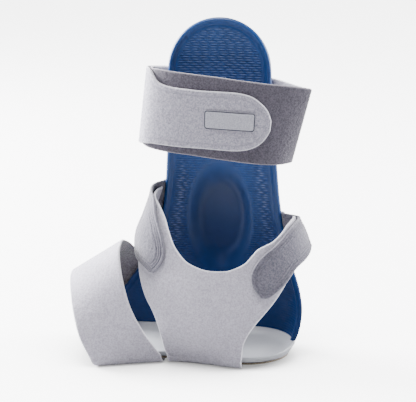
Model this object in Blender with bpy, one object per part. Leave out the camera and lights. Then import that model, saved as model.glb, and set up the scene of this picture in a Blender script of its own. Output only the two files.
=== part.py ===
"""Ankle immobilizer: a moulded shell and footbed held to the foot and leg by felt straps.

Metres, +Z up. The brace stands on its sole, as it does on a table. The origin is on the
floor under the middle of the blade. -X runs to the toes and +X to the heel. The shell
stands on the outer side of the foot, at +Y, and the felt sling comes up the inner side.
"""

import math

import bmesh
import bpy
from mathutils import Vector

# Driving dimensions
HEIGHT = 0.2455          # floor to the top of the blade
BLADE_WIDTH = 0.075      # across the round top of the blade
BLADE_SIDE = 0.030       # middle of the leg space to the blade's inner face
BLADE_BOW = 0.003        # how far the blade's edges curl in towards the leg
FOOT_SIDE = 0.0355       # the same distance to the wall beside the foot
HEEL_RADIUS = 0.031      # inner radius of the wall round the heel
HEEL_CENTRE = 0.0253     # middle of the heel's round, behind the blade's middle
TOE_REACH = 0.092        # blade's middle to the front end of the footbed
WALL = 0.003             # shell wall
RIM_WIDTH = 0.005        # smooth raised rim along the shell's edge
RIM_RISE = 0.0013        # rise of that rim above the inner face
HEEL_BULGE = 0.0052      # how far the heel wall swells back above its foot

HOLLOW_WIDTH = 0.050     # oval hollow for the ankle bone
HOLLOW_LENGTH = 0.088
HOLLOW_HEIGHT = 0.096    # floor to the middle of the hollow
HOLLOW_DEPTH = 0.009

FELT = 0.0022            # thickness of the felt straps
LEAF = 0.0020            # thickness of the closure tabs
CLEARANCE = 0.0003       # gap between pieces that touch
PAD = 0.0015             # tan layer under the footbed
BED = 0.0024             # footbed floor
BED_RIM = 0.0053         # rim that carries the shell, above the footbed's floor
BED_LIP = 0.0023         # low lip on the inner side, above the footbed's floor
UNDERCUT = 0.004         # how far the footbed's foot lies inside its rim
HEEL_UNDERCUT = 0.006    # the same at the back of the heel
FOOT_WIDTH = 0.078       # footbed across the ball of the foot

LEG_LENGTH = 0.123       # leg space, toes to heel, between the arms of the sling
LEG_WIDTH = 0.060        # leg space across, at the ankle
ARM_BEND = 0.007         # radius where the sling turns under the sole
BAND_BEND = 0.0065       # radius where the forefoot band turns under the sole
CALF_HEIGHT = 0.733 * HEIGHT   # floor to the middle of the calf band
CALF_WIDTH = 0.056       # width of the calf band
CALF_LOOP = 0.122        # calf band from fold to fold
CALF_DEPTH = 0.039       # calf band from its near layer to its far layer
FOREFOOT_HEIGHT = 0.088  # forefoot loop at its rear edge
FOREFOOT_LENGTH = 0.108  # blade's middle to the front edge of the forefoot loop
ROOT_LENGTH = 0.012      # stretch of each tab that lies on the shell's outer face
LABEL_LENGTH = 0.037
LABEL_WIDTH = 0.0130
LABEL_THICKNESS = 0.0008
LABEL_TILT = 0.0012      # how far each end of the label turns off the band's own slope

# Heights that follow
PAD_BOTTOM = FELT + CLEARANCE
BED_BOTTOM = PAD_BOTTOM + PAD + CLEARANCE
BED_FLOOR = BED_BOTTOM + BED
RIM_TOP = BED_FLOOR + BED_RIM
LIP_TOP = BED_FLOOR + BED_LIP
SHELL_BOTTOM = RIM_TOP + CLEARANCE
CAP_HEIGHT = HEIGHT - BLADE_WIDTH / 2
HEEL_SIDE = FOOT_SIDE - HEEL_RADIUS
OUTER_RADIUS = HEEL_RADIUS + WALL

# How finely the faceted solids are cut
SHELL_ROWS = 27
CAP_TURNS = 14
FIELD_RINGS = 8
ACROSS = 4

# Shell outline, bottom to top. height: share of HEIGHT. toe: front edge, from 0 at half the
# blade's width to 1 at the toe reach. heel: rear edge, share of BLADE_WIDTH, measured along
# the wall. foot: 1 where the wall follows the foot, 0 where it follows the leg. bulge: share
# of HEEL_BULGE.
SHELL = (
    # height, toe, heel, foot, bulge
    (0.045, 0.960, 0.990, 1.00, 0.00),
    (0.082, 0.900, 0.980, 1.00, 0.60),
    (0.134, 0.752, 0.930, 1.00, 1.00),
    (0.184, 0.593, 0.855, 0.98, 1.00),
    (0.232, 0.443, 0.777, 0.88, 0.80),
    (0.281, 0.290, 0.703, 0.70, 0.45),
    (0.342, 0.174, 0.660, 0.45, 0.20),
    (0.407, 0.107, 0.620, 0.22, 0.00),
    (0.473, 0.058, 0.590, 0.06, 0.00),
    (0.550, 0.033, 0.568, 0.00, 0.00),
    (0.672, 0.012, 0.535, 0.00, 0.00),
    (0.800, 0.002, 0.508, 0.00, 0.00),
    (0.860, 0.000, 0.500, 0.00, 0.00),
)

# Rim, from the edge inwards. across: share of RIM_WIDTH. inner: rise of the inner face,
# share of RIM_RISE. outer: how far the outer face is rounded off, share of WALL.
RIM = (
    # across, inner, outer
    (0.00, -0.75, 0.32),
    (0.16, 0.50, 0.07),
    (0.42, 1.00, 0.00),
    (0.72, 0.85, 0.00),
    (1.00, 0.00, 0.00),
)

# Footbed outline along the foot. place: share of TOE_REACH in front of the blade's middle,
# and share of HEEL_CENTRE behind it. inner, outer: shares of FOOT_WIDTH and of the outer wall.
SOLE = (
    # place, inner, outer
    (-1.000, 0.120, 0.56),
    (-0.980, 0.250, 0.78),
    (-0.940, 0.365, 0.93),
    (-0.880, 0.435, 1.00),
    (-0.800, 0.450, 1.00),
    (-0.690, 0.400, 1.00),
    (-0.590, 0.345, 1.00),
    (-0.460, 0.315, 1.00),
    (-0.330, 0.280, 1.00),
    (-0.180, 0.285, 1.00),
    (-0.040, 0.315, 1.00),
    (0.450, 0.350, 1.00),
    (1.000, 0.378, 1.00),
)

# Space for the leg and heel that the sling and the tabs lie on. height: share of HEIGHT.
# centre and length: shares of LEG_LENGTH. side and width: shares of LEG_WIDTH.
LEG = (
    # height, centre, length, side, width
    (0.000, 0.016, 0.440, 0.070, 0.640),
    (0.049, 0.016, 0.450, 0.067, 0.640),
    (0.143, 0.041, 0.470, 0.067, 0.640),
    (0.224, 0.055, 0.490, 0.083, 0.600),
    (0.305, 0.049, 0.492, 0.117, 0.550),
    (0.367, 0.032, 0.471, 0.133, 0.510),
    (0.428, 0.028, 0.419, 0.150, 0.490),
    (0.489, 0.020, 0.371, 0.167, 0.470),
    (0.550, 0.010, 0.345, 0.183, 0.460),
)
LEG_SQUARE = 2.4         # above 2 the leg space is a squarer oval

# Sling, from the end of its front arm round the low middle to the end of its rear arm. The
# upper edge is the round cut-out, the lower edge the outer outline. turn: degrees round the
# leg, 0 on the inner side, -90 at the toes, 90 at the heel. height: share of HEIGHT.
SLING_FRONT = (
    # upper turn, upper height, lower turn, lower height
    (-110.0, 0.494, -104.0, 0.390),
    (-92.0, 0.491, -95.0, 0.350),
    (-74.0, 0.484, -88.0, 0.318),
    (-60.0, 0.474, -83.0, 0.285),
    (-49.5, 0.458, -76.0, 0.250),
    (-40.2, 0.433, -61.0, 0.199),
    (-30.4, 0.388, -47.5, 0.157),
    (-23.6, 0.347, -38.0, 0.101),
)
SLING_MIDDLE = (
    # upper turn, upper height, lower turn
    (-16.8, 0.316, -31.0),
    (-8.5, 0.299, -22.0),
    (-4.0, 0.294, -13.0),
    (0.0, 0.293, -3.5),
    (4.0, 0.295, 5.5),
    (7.1, 0.300, 12.8),
    (11.0, 0.308, 18.9),
)
SLING_REAR = (
    # upper turn, upper height, lower turn, lower height
    (15.3, 0.319, 19.4, 0.085),
    (20.5, 0.339, 24.2, 0.135),
    (26.5, 0.358, 35.4, 0.196),
    (38.9, 0.375, 45.6, 0.250),
    (52.3, 0.398, 54.0, 0.285),
    (66.0, 0.418, 66.0, 0.312),
    (80.0, 0.426, 80.0, 0.335),
    (96.0, 0.426, 94.0, 0.345),
)

# Tabs, from beside the shell's edge to the round tip. The same columns, with out: how far
# the leaf stands off the arm below it, share of LEAF.
FRONT_TAB = (
    # upper turn, upper height, lower turn, lower height, out
    (-106.0, 0.508, -112.0, 0.385, 0.3),
    (-92.0, 0.507, -104.0, 0.360, 0.4),
    (-76.0, 0.502, -95.0, 0.333, 0.3),
    (-60.4, 0.485, -83.0, 0.312, 0.1),
    (-50.0, 0.446, -70.0, 0.299, 0.0),
    (-39.4, 0.407, -60.0, 0.291, 0.0),
    (-32.5, 0.369, -53.5, 0.284, 0.0),
    (-31.3, 0.335, -49.5, 0.277, 0.0),
    (-34.3, 0.306, -47.0, 0.274, 0.0),
    (-38.5, 0.288, -43.0, 0.275, 0.0),
)
REAR_TAB = (
    # upper turn, upper height, lower turn, lower height, out
    (106.0, 0.420, 106.0, 0.328, 0.1),
    (96.0, 0.423, 94.0, 0.330, 0.2),
    (86.0, 0.424, 81.0, 0.326, 0.3),
    (72.0, 0.419, 68.0, 0.314, 0.2),
    (59.1, 0.406, 55.0, 0.297, 0.2),
    (41.0, 0.371, 43.5, 0.257, 0.1),
    (27.0, 0.339, 34.0, 0.228, 0.0),
    (19.3, 0.305, 28.5, 0.219, 0.0),
    (17.4, 0.276, 25.0, 0.221, 0.0),
    (18.6, 0.252, 22.0, 0.232, 0.0),
)

# Forefoot loop, from under the sole up the inner side, over the instep and down outside the
# shell's wall. side: share of FOREFOOT_SIDE, out from the middle. height: share of the
# loop's height at that edge.
FOREFOOT_SIDE = FOOT_SIDE + WALL + CLEARANCE + FELT + 0.0005
FOREFOOT = (
    # rear side, rear height, front side, front height
    (-0.74, 0.28, -1.02, 0.38),
    (-0.78, 0.50, -0.80, 0.62),
    (-0.71, 0.74, -0.48, 0.83),
    (-0.50, 0.92, -0.12, 0.955),
    (-0.16, 0.985, 0.22, 0.98),
    (0.20, 0.945, 0.54, 0.91),
    (0.58, 0.865, 0.80, 0.75),
    (0.89, 0.745, 0.97, 0.52),
    (1.00, 0.560, 1.00, 0.34),
)
FOREFOOT_FOOT = (
    # rear side, front side, where the loop turns under the sole
    (-0.615, -1.01),
    (1.00, 1.00),
)
# Where the loop's two edges lie along the foot. height: share of the loop's height. rear,
# front: shares of FOREFOOT_LENGTH.
FOREFOOT_EDGES = (
    # height, rear, front
    (0.00, 0.313, 0.745),
    (0.08, 0.327, 0.768),
    (0.24, 0.411, 0.812),
    (0.47, 0.510, 0.868),
    (0.70, 0.570, 0.925),
    (0.88, 0.608, 0.965),
    (1.00, 0.622, 1.000),
)
FOREFOOT_FRONT = 0.060   # height of the loop at its front edge

# Calf band round the blade, seen from above, from the far left round the near side to the
# sharp right fold and back. upper, lower: places along the band, shares of CALF_LOOP from
# the blade's middle. side: share of CALF_DEPTH, from the far layer. lift: height of the
# band's middle above CALF_HEIGHT, share of CALF_WIDTH. wide: share of CALF_WIDTH.
CALF = (
    # upper, lower, side, lift, wide
    (-0.250, -0.255, 0.000, 0.010, 1.00),
    (-0.345, -0.360, 0.070, 0.022, 1.00),
    (-0.397, -0.428, 0.230, 0.034, 1.00),
    (-0.405, -0.452, 0.430, 0.050, 1.00),
    (-0.390, -0.446, 0.630, 0.052, 1.00),
    (-0.342, -0.396, 0.800, 0.038, 1.03),
    (-0.250, -0.286, 0.920, 0.012, 1.045),
    (-0.120, -0.130, 0.990, -0.015, 1.05),
    (0.020, 0.010, 1.010, -0.048, 1.055),
    (0.170, 0.150, 0.990, -0.088, 1.05),
    (0.320, 0.280, 0.920, -0.125, 1.04),
    (0.450, 0.375, 0.800, -0.150, 1.02),
    (0.545, 0.430, 0.640, -0.170, 0.98),
    (0.562, 0.448, 0.540, -0.178, 0.96),
    (0.543, 0.436, 0.430, -0.180, 0.96),
    (0.455, 0.386, 0.190, -0.165, 0.97),
    (0.340, 0.310, 0.020, -0.115, 0.98),
    (0.200, 0.190, 0.000, -0.080, 1.00),
    (0.000, 0.000, 0.000, -0.040, 1.00),
    (-0.140, -0.140, 0.000, -0.012, 1.00),
)
CALF_FAR = BLADE_SIDE + WALL + CLEARANCE + FELT   # outside of the band's far layer

# Flap over the calf band. along: place in the calf table, in rows. low, high: shares of the
# band's width.
FLAP = (
    # along, low, high
    (0.60, 0.000, 1.000),
    (2.00, 0.000, 1.000),
    (3.40, 0.005, 1.000),
    (4.10, 0.015, 0.995),
    (4.60, 0.040, 0.960),
    (4.95, 0.058, 0.905),
    (5.30, 0.074, 0.850),
    (5.98, 0.088, 0.817),
    (6.70, 0.095, 0.815),
    (7.45, 0.112, 0.820),
    (8.20, 0.125, 0.838),
    (8.88, 0.142, 0.850),
    (9.39, 0.180, 0.826),
    (9.80, 0.250, 0.750),
    (10.08, 0.340, 0.665),
    (10.25, 0.440, 0.560),
)
LABEL_ALONG = 8.55       # middle of the label, in rows of the calf table
LABEL_UP = 0.50          # and up the band, share of its width


def smooth(share):
    """Ease from 0 to 1."""
    share = min(1.0, max(0.0, share))
    return share * share * (3 - 2 * share)


def hermite(low, high, low_slope, high_slope, share):
    """Cubic between two values with the given slopes."""
    square = share * share
    cube = square * share
    start = (2 * cube - 3 * square + 1) * low + (cube - 2 * square + share) * low_slope
    return start + (3 * square - 2 * cube) * high + (cube - square) * high_slope


def read(table, place, column):
    """Smooth value of a column of a table at a place in its first column."""
    last = len(table) - 1
    index = 0
    while index < last - 1 and place > table[index + 1][0]:
        index += 1
    low, high = table[index], table[index + 1]
    span = high[0] - low[0]
    share = min(1.0, max(0.0, (place - low[0]) / span))

    def slope(middle):
        before = table[max(0, middle - 1)]
        after = table[min(last, middle + 1)]
        return (after[column] - before[column]) / (after[0] - before[0]) * span

    return hermite(low[column], high[column], slope(index), slope(index + 1), share)


def pass_through(points, place, closed=False):
    """Point on a smooth curve through the points, at a place counted in points."""
    count = len(points)
    index = int(math.floor(place))
    if not closed:
        index = min(max(index, 0), count - 2)
    share = place - index

    def at(number):
        if closed:
            return points[number % count]
        return points[min(max(number, 0), count - 1)]

    low, high = at(index), at(index + 1)
    low_slope = (high - at(index - 1)) / 2
    high_slope = (at(index + 2) - low) / 2
    return Vector(hermite(*values, share) for values in zip(low, high, low_slope, high_slope))


def make_material(name, colour, roughness):
    """Plain finish of one piece."""
    material = bpy.data.materials.new(name)
    material.use_nodes = True
    shader = material.node_tree.nodes["Principled BSDF"]
    shader.inputs["Base Color"].default_value = (*colour, 1.0)
    shader.inputs["Roughness"].default_value = roughness
    return material


def make_object(name, points, faces, material):
    """Closed mesh object with its faces pointing out."""
    mesh = bpy.data.meshes.new(name)
    mesh.from_pydata([tuple(point) for point in points], [], faces)
    form = bmesh.new()
    form.from_mesh(mesh)
    bmesh.ops.recalc_face_normals(form, faces=form.faces)
    if form.calc_volume(signed=True) < 0:
        bmesh.ops.reverse_faces(form, faces=form.faces)
    form.to_mesh(mesh)
    form.free()
    mesh.shade_smooth()
    mesh.set_sharp_from_angle(angle=math.radians(40))
    mesh.materials.append(material)
    piece = bpy.data.objects.new(name, mesh)
    bpy.context.scene.collection.objects.link(piece)
    return piece


def rounded_sheet(name, top, bottom, turns, material):
    """Solid between two sheets of rays. Each ray runs from the outline in to the spine. The
    first half of the rays and the last half meet on the spine, and the turns between them
    run to its end."""
    count = len(top)
    rings = len(top[0]) - 1
    half = (count - turns + 1) // 2
    points = []
    numbers = []
    for sheet in (top, bottom):
        ring_numbers = []
        for ray in sheet:
            ring_numbers.append(list(range(len(points), len(points) + rings)))
            points.extend(ray[:rings])
        spine = list(range(len(points), len(points) + half))
        points.extend(sheet[number][rings] for number in range(half))
        for number, row in enumerate(ring_numbers):
            mirrored = count - 1 - number
            row.append(spine[min(number, mirrored, half - 1)])
        numbers.append(ring_numbers)
    faces = []
    for sheet in numbers:
        for first, second in zip(sheet, sheet[1:]):
            for ring in range(rings):
                corners = (first[ring], second[ring], second[ring + 1], first[ring + 1])
                faces.append(tuple(dict.fromkeys(corners)))
    upper, lower = numbers
    for number in range(count - 1):
        faces.append((upper[number][0], lower[number][0], lower[number + 1][0],
                      upper[number + 1][0]))
    for side in (0, count - 1):
        for ring in range(rings):
            faces.append((upper[side][ring], upper[side][ring + 1],
                          lower[side][ring + 1], lower[side][ring]))
    return make_object(name, points, faces, material)


def thick_grid(name, outer, inner, material, closed=False):
    """Solid between two grids of points. A closed grid's last row meets its first."""
    rows = len(outer)
    columns = len(outer[0])
    points = [point for row in outer for point in row]
    points += [point for row in inner for point in row]
    shift = rows * columns
    steps = rows if closed else rows - 1
    faces = []
    for row in range(steps):
        after = (row + 1) % rows
        for column in range(columns - 1):
            corners = (row * columns + column, after * columns + column,
                       after * columns + column + 1, row * columns + column + 1)
            faces.append(corners)
            faces.append(tuple(corner + shift for corner in reversed(corners)))
        for column in (0, columns - 1):
            first = row * columns + column
            second = after * columns + column
            faces.append((first, second, second + shift, first + shift))
    if not closed:
        for row in (0, rows - 1):
            for column in range(columns - 1):
                first = row * columns + column
                faces.append((first, first + 1, first + 1 + shift, first + shift))
    return make_object(name, points, faces, material)


def grid_normals(grid, closed=False):
    """Unit normals of a grid of points, pointing the way of row step x column step."""
    rows = len(grid)
    columns = len(grid[0])
    normals = []
    for row in range(rows):
        line = []
        for column in range(columns):
            if closed:
                along = grid[(row + 1) % rows][column] - grid[row - 1][column]
            else:
                along = grid[min(row + 1, rows - 1)][column] - grid[max(row - 1, 0)][column]
            across = grid[row][min(column + 1, columns - 1)] - grid[row][max(column - 1, 0)]
            line.append(along.cross(across).normalized())
        normals.append(line)
    return normals


def strap(name, outer, thickness, material, closed=False, inwards=1.0):
    """Felt strap with the given outer face, thickened towards its inner face."""
    normals = grid_normals(outer, closed)
    inner = [[point + normal * thickness * inwards for point, normal in zip(*rows)]
             for rows in zip(outer, normals)]
    return thick_grid(name, outer, inner, material, closed)


def shell_place(along, height, out):
    """Point of the shell, by its distance along the wall from the blade's middle, its
    height, and its distance out from the inner face."""
    share = min(height, CAP_HEIGHT) / HEIGHT
    foot = read(SHELL, share, 3)
    swell = HEEL_BULGE * read(SHELL, share, 4)
    turn = max(0.0, along - HEEL_CENTRE) / HEEL_RADIUS
    straight = min(along, HEEL_CENTRE)
    foot_face = Vector((straight + HEEL_RADIUS * math.sin(turn),
                        HEEL_SIDE + HEEL_RADIUS * math.cos(turn)))
    foot_face.x += swell * math.sin(turn) ** 2
    foot_normal = Vector((math.sin(turn), math.cos(turn)))
    reach = min(1.3, abs(along) / (BLADE_WIDTH / 2))
    blade_face = Vector((along, BLADE_SIDE - BLADE_BOW * reach * reach))
    blade_normal = Vector((2 * BLADE_BOW * along / (BLADE_WIDTH / 2) ** 2, 1.0)).normalized()
    face = foot_face * foot + blade_face * (1 - foot)
    normal = (foot_normal * foot + blade_normal * (1 - foot)).normalized()
    place = face + normal * out
    return Vector((place.x, place.y, height))


def hollow_depth(along, height):
    """How far the wall is pushed out by the hollow for the ankle bone."""
    across = along / (HOLLOW_WIDTH / 2)
    up = (height - HOLLOW_HEIGHT) / (HOLLOW_LENGTH / 2)
    return HOLLOW_DEPTH * smooth((1.05 - math.hypot(across, up)) / 0.52)


def shell_edges(height):
    """Front and rear edge of the shell at a height, measured along the wall."""
    share = height / HEIGHT
    front = BLADE_WIDTH / 2 + (TOE_REACH - BLADE_WIDTH / 2) * read(SHELL, share, 1)
    rear = BLADE_WIDTH * read(SHELL, share, 2)
    return -front, rear


def shell_ray(edge_along, edge_height, spine_along, spine_height, stretch):
    """Inner and outer points of one ray, from the shell's edge to its spine."""
    reach = math.hypot(spine_along - edge_along, spine_height - edge_height)
    rim = RIM_WIDTH * stretch
    stations = [(across * rim, -RIM_RISE * inner, WALL * (1 - outer))
                for across, inner, outer in RIM]
    for ring in range(1, FIELD_RINGS + 1):
        stations.append((rim + (reach - rim) * ring / FIELD_RINGS, 0.0, WALL))
    inner_ray = []
    outer_ray = []
    for distance, inner, outer in stations:
        share = distance / reach
        along = edge_along + (spine_along - edge_along) * share
        height = edge_height + (spine_height - edge_height) * share
        push = hollow_depth(along, height)
        inner_ray.append(shell_place(along, height, inner + push))
        outer_ray.append(shell_place(along, height, outer + push))
    return inner_ray, outer_ray


def make_shell(material):
    """Blade, hollow for the ankle bone, wall to the toes and wrap round the heel."""
    front_rays = []
    rear_rays = []
    rise = (CAP_HEIGHT - SHELL_BOTTOM) / SHELL_ROWS
    for row in range(SHELL_ROWS + 1):
        height = SHELL_BOTTOM + rise * row
        front, rear = shell_edges(height)
        above = shell_edges(min(height + rise / 2, CAP_HEIGHT))[0]
        below = shell_edges(max(height - rise / 2, SHELL_BOTTOM))[0]
        stretch = math.hypot(1.0, (above - below) / rise)
        middle = (front + rear) / 2
        front_rays.append(shell_ray(front, height, middle, height, stretch))
        rear_rays.append(shell_ray(rear, height, middle, height, 1.0))
    cap_rays = []
    radius = BLADE_WIDTH / 2
    for step in range(1, CAP_TURNS):
        turn = math.pi * (1 - step / CAP_TURNS)
        cap_rays.append(shell_ray(radius * math.cos(turn), CAP_HEIGHT + radius * math.sin(turn),
                                  0.0, CAP_HEIGHT, 1.0))
    rays = front_rays + cap_rays + rear_rays[::-1]
    inner = [ray[0] for ray in rays]
    outer = [ray[1] for ray in rays]
    return rounded_sheet("ankle_shell", outer, inner, CAP_TURNS, material)


def sole_edge(place):
    """Outline of the footbed's rim at a place along the foot: inner and outer side."""
    unit = TOE_REACH if place < 0 else HEEL_CENTRE
    share = min(max(place / unit, SOLE[0][0]), SOLE[-1][0])
    inner = -FOOT_WIDTH * read(SOLE, share, 1)
    heel_side = HEEL_SIDE - OUTER_RADIUS
    inner += (heel_side - inner) * smooth(place / HEEL_CENTRE)
    outer = (FOOT_SIDE + WALL) * read(SOLE, share, 2)
    return inner, outer


def sole_rays():
    """Rim points and the spine points that they face, from the toes along the inner side,
    round the heel and back along the outer side."""
    places = [TOE_REACH * row[0] if row[0] < 0 else HEEL_CENTRE * row[0] for row in SOLE]
    inner_rays = []
    outer_rays = []
    for place in places:
        inner, outer = sole_edge(place)
        share = smooth((place + TOE_REACH) / TOE_REACH)
        spine = Vector((place, (inner + outer) / 2 * (1 - share) + HEEL_SIDE * share))
        inner_rays.append((Vector((place, inner)), spine))
        outer_rays.append((Vector((place, outer)), spine))
    heel = Vector((HEEL_CENTRE, HEEL_SIDE))
    heel_rays = []
    for step in range(1, CAP_TURNS):
        turn = math.pi * (step / CAP_TURNS - 0.5)
        rim = heel + Vector((math.cos(turn), math.sin(turn))) * OUTER_RADIUS
        heel_rays.append((rim, heel))
    return inner_rays + heel_rays + outer_rays[::-1], len(inner_rays)


def rim_height(number, inner_count):
    """Height of the footbed's rim at a ray: low on the inner side, up at the heel."""
    heel_share = (number - inner_count + 1) / CAP_TURNS
    return LIP_TOP + (RIM_TOP - LIP_TOP) * smooth((heel_share - 0.12) / 0.33)


def undercut(number, inner_count):
    """How far the footbed's foot lies inside its rim at a ray: further at the heel."""
    heel_share = (number - inner_count + 1) / CAP_TURNS
    return UNDERCUT + (HEEL_UNDERCUT - UNDERCUT) * smooth(min(heel_share, 1 - heel_share) / 0.28)


def lip_share(distance):
    """How high the lip stands at a distance in from its outside, as a share of its rise."""
    return (1 - min(1.0, max(0.0, (distance - WALL - CLEARANCE) / (3 * WALL)))) ** 3.6


def make_footbed(material):
    """Cup under the heel and midfoot, with its lip closed round the toe end."""
    rays, inner_count = sole_rays()
    wall = WALL + CLEARANCE
    cove = 3 * WALL
    top = []
    bottom = []
    for number, (rim, spine) in enumerate(rays):
        height = rim_height(number, inner_count)
        rise = height - BED_FLOOR
        drop = height - BED_BOTTOM
        under = undercut(number, inner_count)
        reach = (spine - rim).length
        top_stations = (
            # distance in from the rim, height
            (0.1 * WALL, height),
            (wall, height),
            (wall + 0.2 * cove, BED_FLOOR + 0.42 * rise),
            (wall + 0.5 * cove, BED_FLOOR + 0.10 * rise),
            (wall + cove, BED_FLOOR),
            (reach, BED_FLOOR),
        )
        bottom_stations = (
            (0.0, height - 0.1 * drop),
            (0.30 * under, BED_BOTTOM + 0.5 * drop),
            (0.60 * under, BED_BOTTOM + 0.14 * drop),
            (under, BED_BOTTOM),
            (wall + cove, BED_BOTTOM),
            (reach, BED_BOTTOM),
        )
        for sheet, stations in ((top, top_stations), (bottom, bottom_stations)):
            ray = []
            for distance, station_height in stations:
                point = rim.lerp(spine, min(1.0, distance / reach))
                if sheet is top:
                    lip = BED_FLOOR + rise * lip_share(point.x + TOE_REACH)
                    station_height = max(station_height, lip)
                ray.append(Vector((point.x, point.y, station_height)))
            sheet.append(ray)
    return rounded_sheet("footbed", top, bottom, CAP_TURNS, material)


def make_sole_pad(material):
    """Thin layer under the footbed, with the footbed's outline."""
    rays, inner_count = sole_rays()
    top = []
    bottom = []
    for number, (rim, spine) in enumerate(rays):
        inset = 0.8 * undercut(number, inner_count)
        edge = rim.lerp(spine, inset / (spine - rim).length)
        for sheet, height in ((top, PAD_BOTTOM + PAD), (bottom, PAD_BOTTOM)):
            sheet.append([Vector((edge.x, edge.y, height)), Vector((spine.x, spine.y, height))])
    return rounded_sheet("sole_pad", top, bottom, CAP_TURNS, material)


def leg_place(turn, height, out):
    """Point on the leg space, by its turn round the leg, its height, and how far out."""
    share = height / HEIGHT
    centre = LEG_LENGTH * read(LEG, share, 1)
    length = LEG_LENGTH * read(LEG, share, 2) + out
    side = LEG_WIDTH * read(LEG, share, 3)
    width = LEG_WIDTH * read(LEG, share, 4) + out
    across = math.sin(math.radians(turn))
    facing = math.cos(math.radians(turn))
    power = 2 / LEG_SQUARE
    x = centre + length * math.copysign(abs(across) ** power, across)
    y = side - width * math.copysign(abs(facing) ** power, facing)
    low_share = 1 - smooth((height - ARM_BEND) / (3.5 * ARM_BEND))
    if low_share > 0 and facing > 0:
        beside = sole_edge(x)[0] - 3 * CLEARANCE - out
        y += (beside - y) * low_share
    return Vector((x, y, height))


def make_sling(material):
    """Sling under the sole and up the inner side, with its two arms."""
    stations = []
    for row in SLING_FRONT + SLING_REAR:
        stations.append((row[0], row[1] * HEIGHT, row[2], row[3] * HEIGHT))
    middle = [(row[0], row[1] * HEIGHT, row[2], ARM_BEND) for row in SLING_MIDDLE]
    stations = stations[:len(SLING_FRONT)] + middle + stations[len(SLING_FRONT):]
    rows = []
    for upper_turn, upper_height, lower_turn, lower_height in stations:
        line = []
        for column in range(ACROSS + 3):
            share = column / (ACROSS + 2)
            turn = upper_turn + (lower_turn - upper_turn) * share
            height = upper_height + (lower_height - upper_height) * share
            line.append(leg_place(turn, height, FELT))
        rows.append(line)
    first = len(SLING_FRONT)
    last = first + len(SLING_MIDDLE) - 1
    tails = []
    for row in rows[first:last + 1]:
        edge = row[-1]
        tail = []
        for step in range(1, 5):
            turn = math.pi / 2 * step / 4
            tail.append(Vector((edge.x, edge.y + ARM_BEND * (1 - math.cos(turn)),
                                ARM_BEND * (1 - math.sin(turn)))))
        end = FOOT_SIDE + WALL - UNDERCUT
        start = tail[-1].y
        for step in (1, 2):
            tail.append(Vector((edge.x, start + (end - start) * step / 2, 0.0)))
        tails.append(tail)
    return joined_strap("ankle_sling", rows, tails, first, FELT, material)


def joined_strap(name, rows, tails, first, thickness, material):
    """Strap made of a grid and of a tail that leaves its last column."""
    outer_grid = rows
    normals = grid_normals(outer_grid)
    tail_grid = [[rows[first + number][-2], rows[first + number][-1]] + tail
                 for number, tail in enumerate(tails)]
    tail_normals = grid_normals(tail_grid)
    columns = len(rows[0])
    points = []
    inner_points = []
    number_at = {}
    for row, line in enumerate(outer_grid):
        for column, point in enumerate(line):
            normal = normals[row][column]
            on_tail = first <= row < first + len(tails)
            if on_tail and column == columns - 1:
                normal = tail_normals[row - first][1]
            number_at[row, column] = len(points)
            points.append(point)
            inner_points.append(point + normal * thickness)
    for number, tail in enumerate(tails):
        for step, point in enumerate(tail):
            normal = tail_normals[number][step + 2]
            number_at[first + number, columns + step] = len(points)
            points.append(point)
            inner_points.append(point + normal * thickness)
    shift = len(points)
    faces = []
    edge_uses = {}
    for (row, column), corner in number_at.items():
        others = ((row + 1, column), (row + 1, column + 1), (row, column + 1))
        if all(other in number_at for other in others):
            corners = (corner, *(number_at[other] for other in others))
            faces.append(corners)
            faces.append(tuple(value + shift for value in reversed(corners)))
            for start, end in zip(corners, corners[1:] + corners[:1]):
                edge = (min(start, end), max(start, end))
                edge_uses[edge] = edge_uses.get(edge, 0) + 1
    for (start, end), uses in edge_uses.items():
        if uses == 1:
            faces.append((start, end, end + shift, start + shift))
    return make_object(name, points + inner_points, faces, material)


def make_tab(name, table, sign, material):
    """Closure tab: its root lies on the shell's outer face, its leaf over the arm."""
    columns = ACROSS + 1
    lines = []
    for column in range(columns):
        share = column / ACROSS
        root_height = (table[0][1] + (table[0][3] - table[0][1]) * share) * HEIGHT
        front, rear = shell_edges(root_height)
        edge = front if sign < 0 else rear
        clear = CLEARANCE + LEAF
        points = [
            shell_place(edge - sign * ROOT_LENGTH, root_height, WALL + clear),
            shell_place(edge - sign * 0.45 * ROOT_LENGTH, root_height, WALL + clear),
            shell_place(edge + sign * 0.4 * LEAF, root_height, WALL + clear),
            shell_place(edge + sign * (clear + CLEARANCE), root_height, 0.5 * WALL),
        ]
        for upper_turn, upper_height, lower_turn, lower_height, out in table:
            turn = upper_turn + (lower_turn - upper_turn) * share
            height = (upper_height + (lower_height - upper_height) * share) * HEIGHT
            stand = FELT + 2 * CLEARANCE + LEAF * (1 + out)
            points.append(leg_place(turn, height, stand))
        lines.append(points)
    rows = [list(row) for row in zip(*lines)]
    return strap(name, rows, LEAF, material, inwards=-sign)


def forefoot_edge(side, share, tall, column):
    """Point on one edge of the forefoot loop."""
    along = -FOREFOOT_LENGTH * read(FOREFOOT_EDGES, share, column)
    return Vector((along, side * FOREFOOT_SIDE, share * tall))


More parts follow.
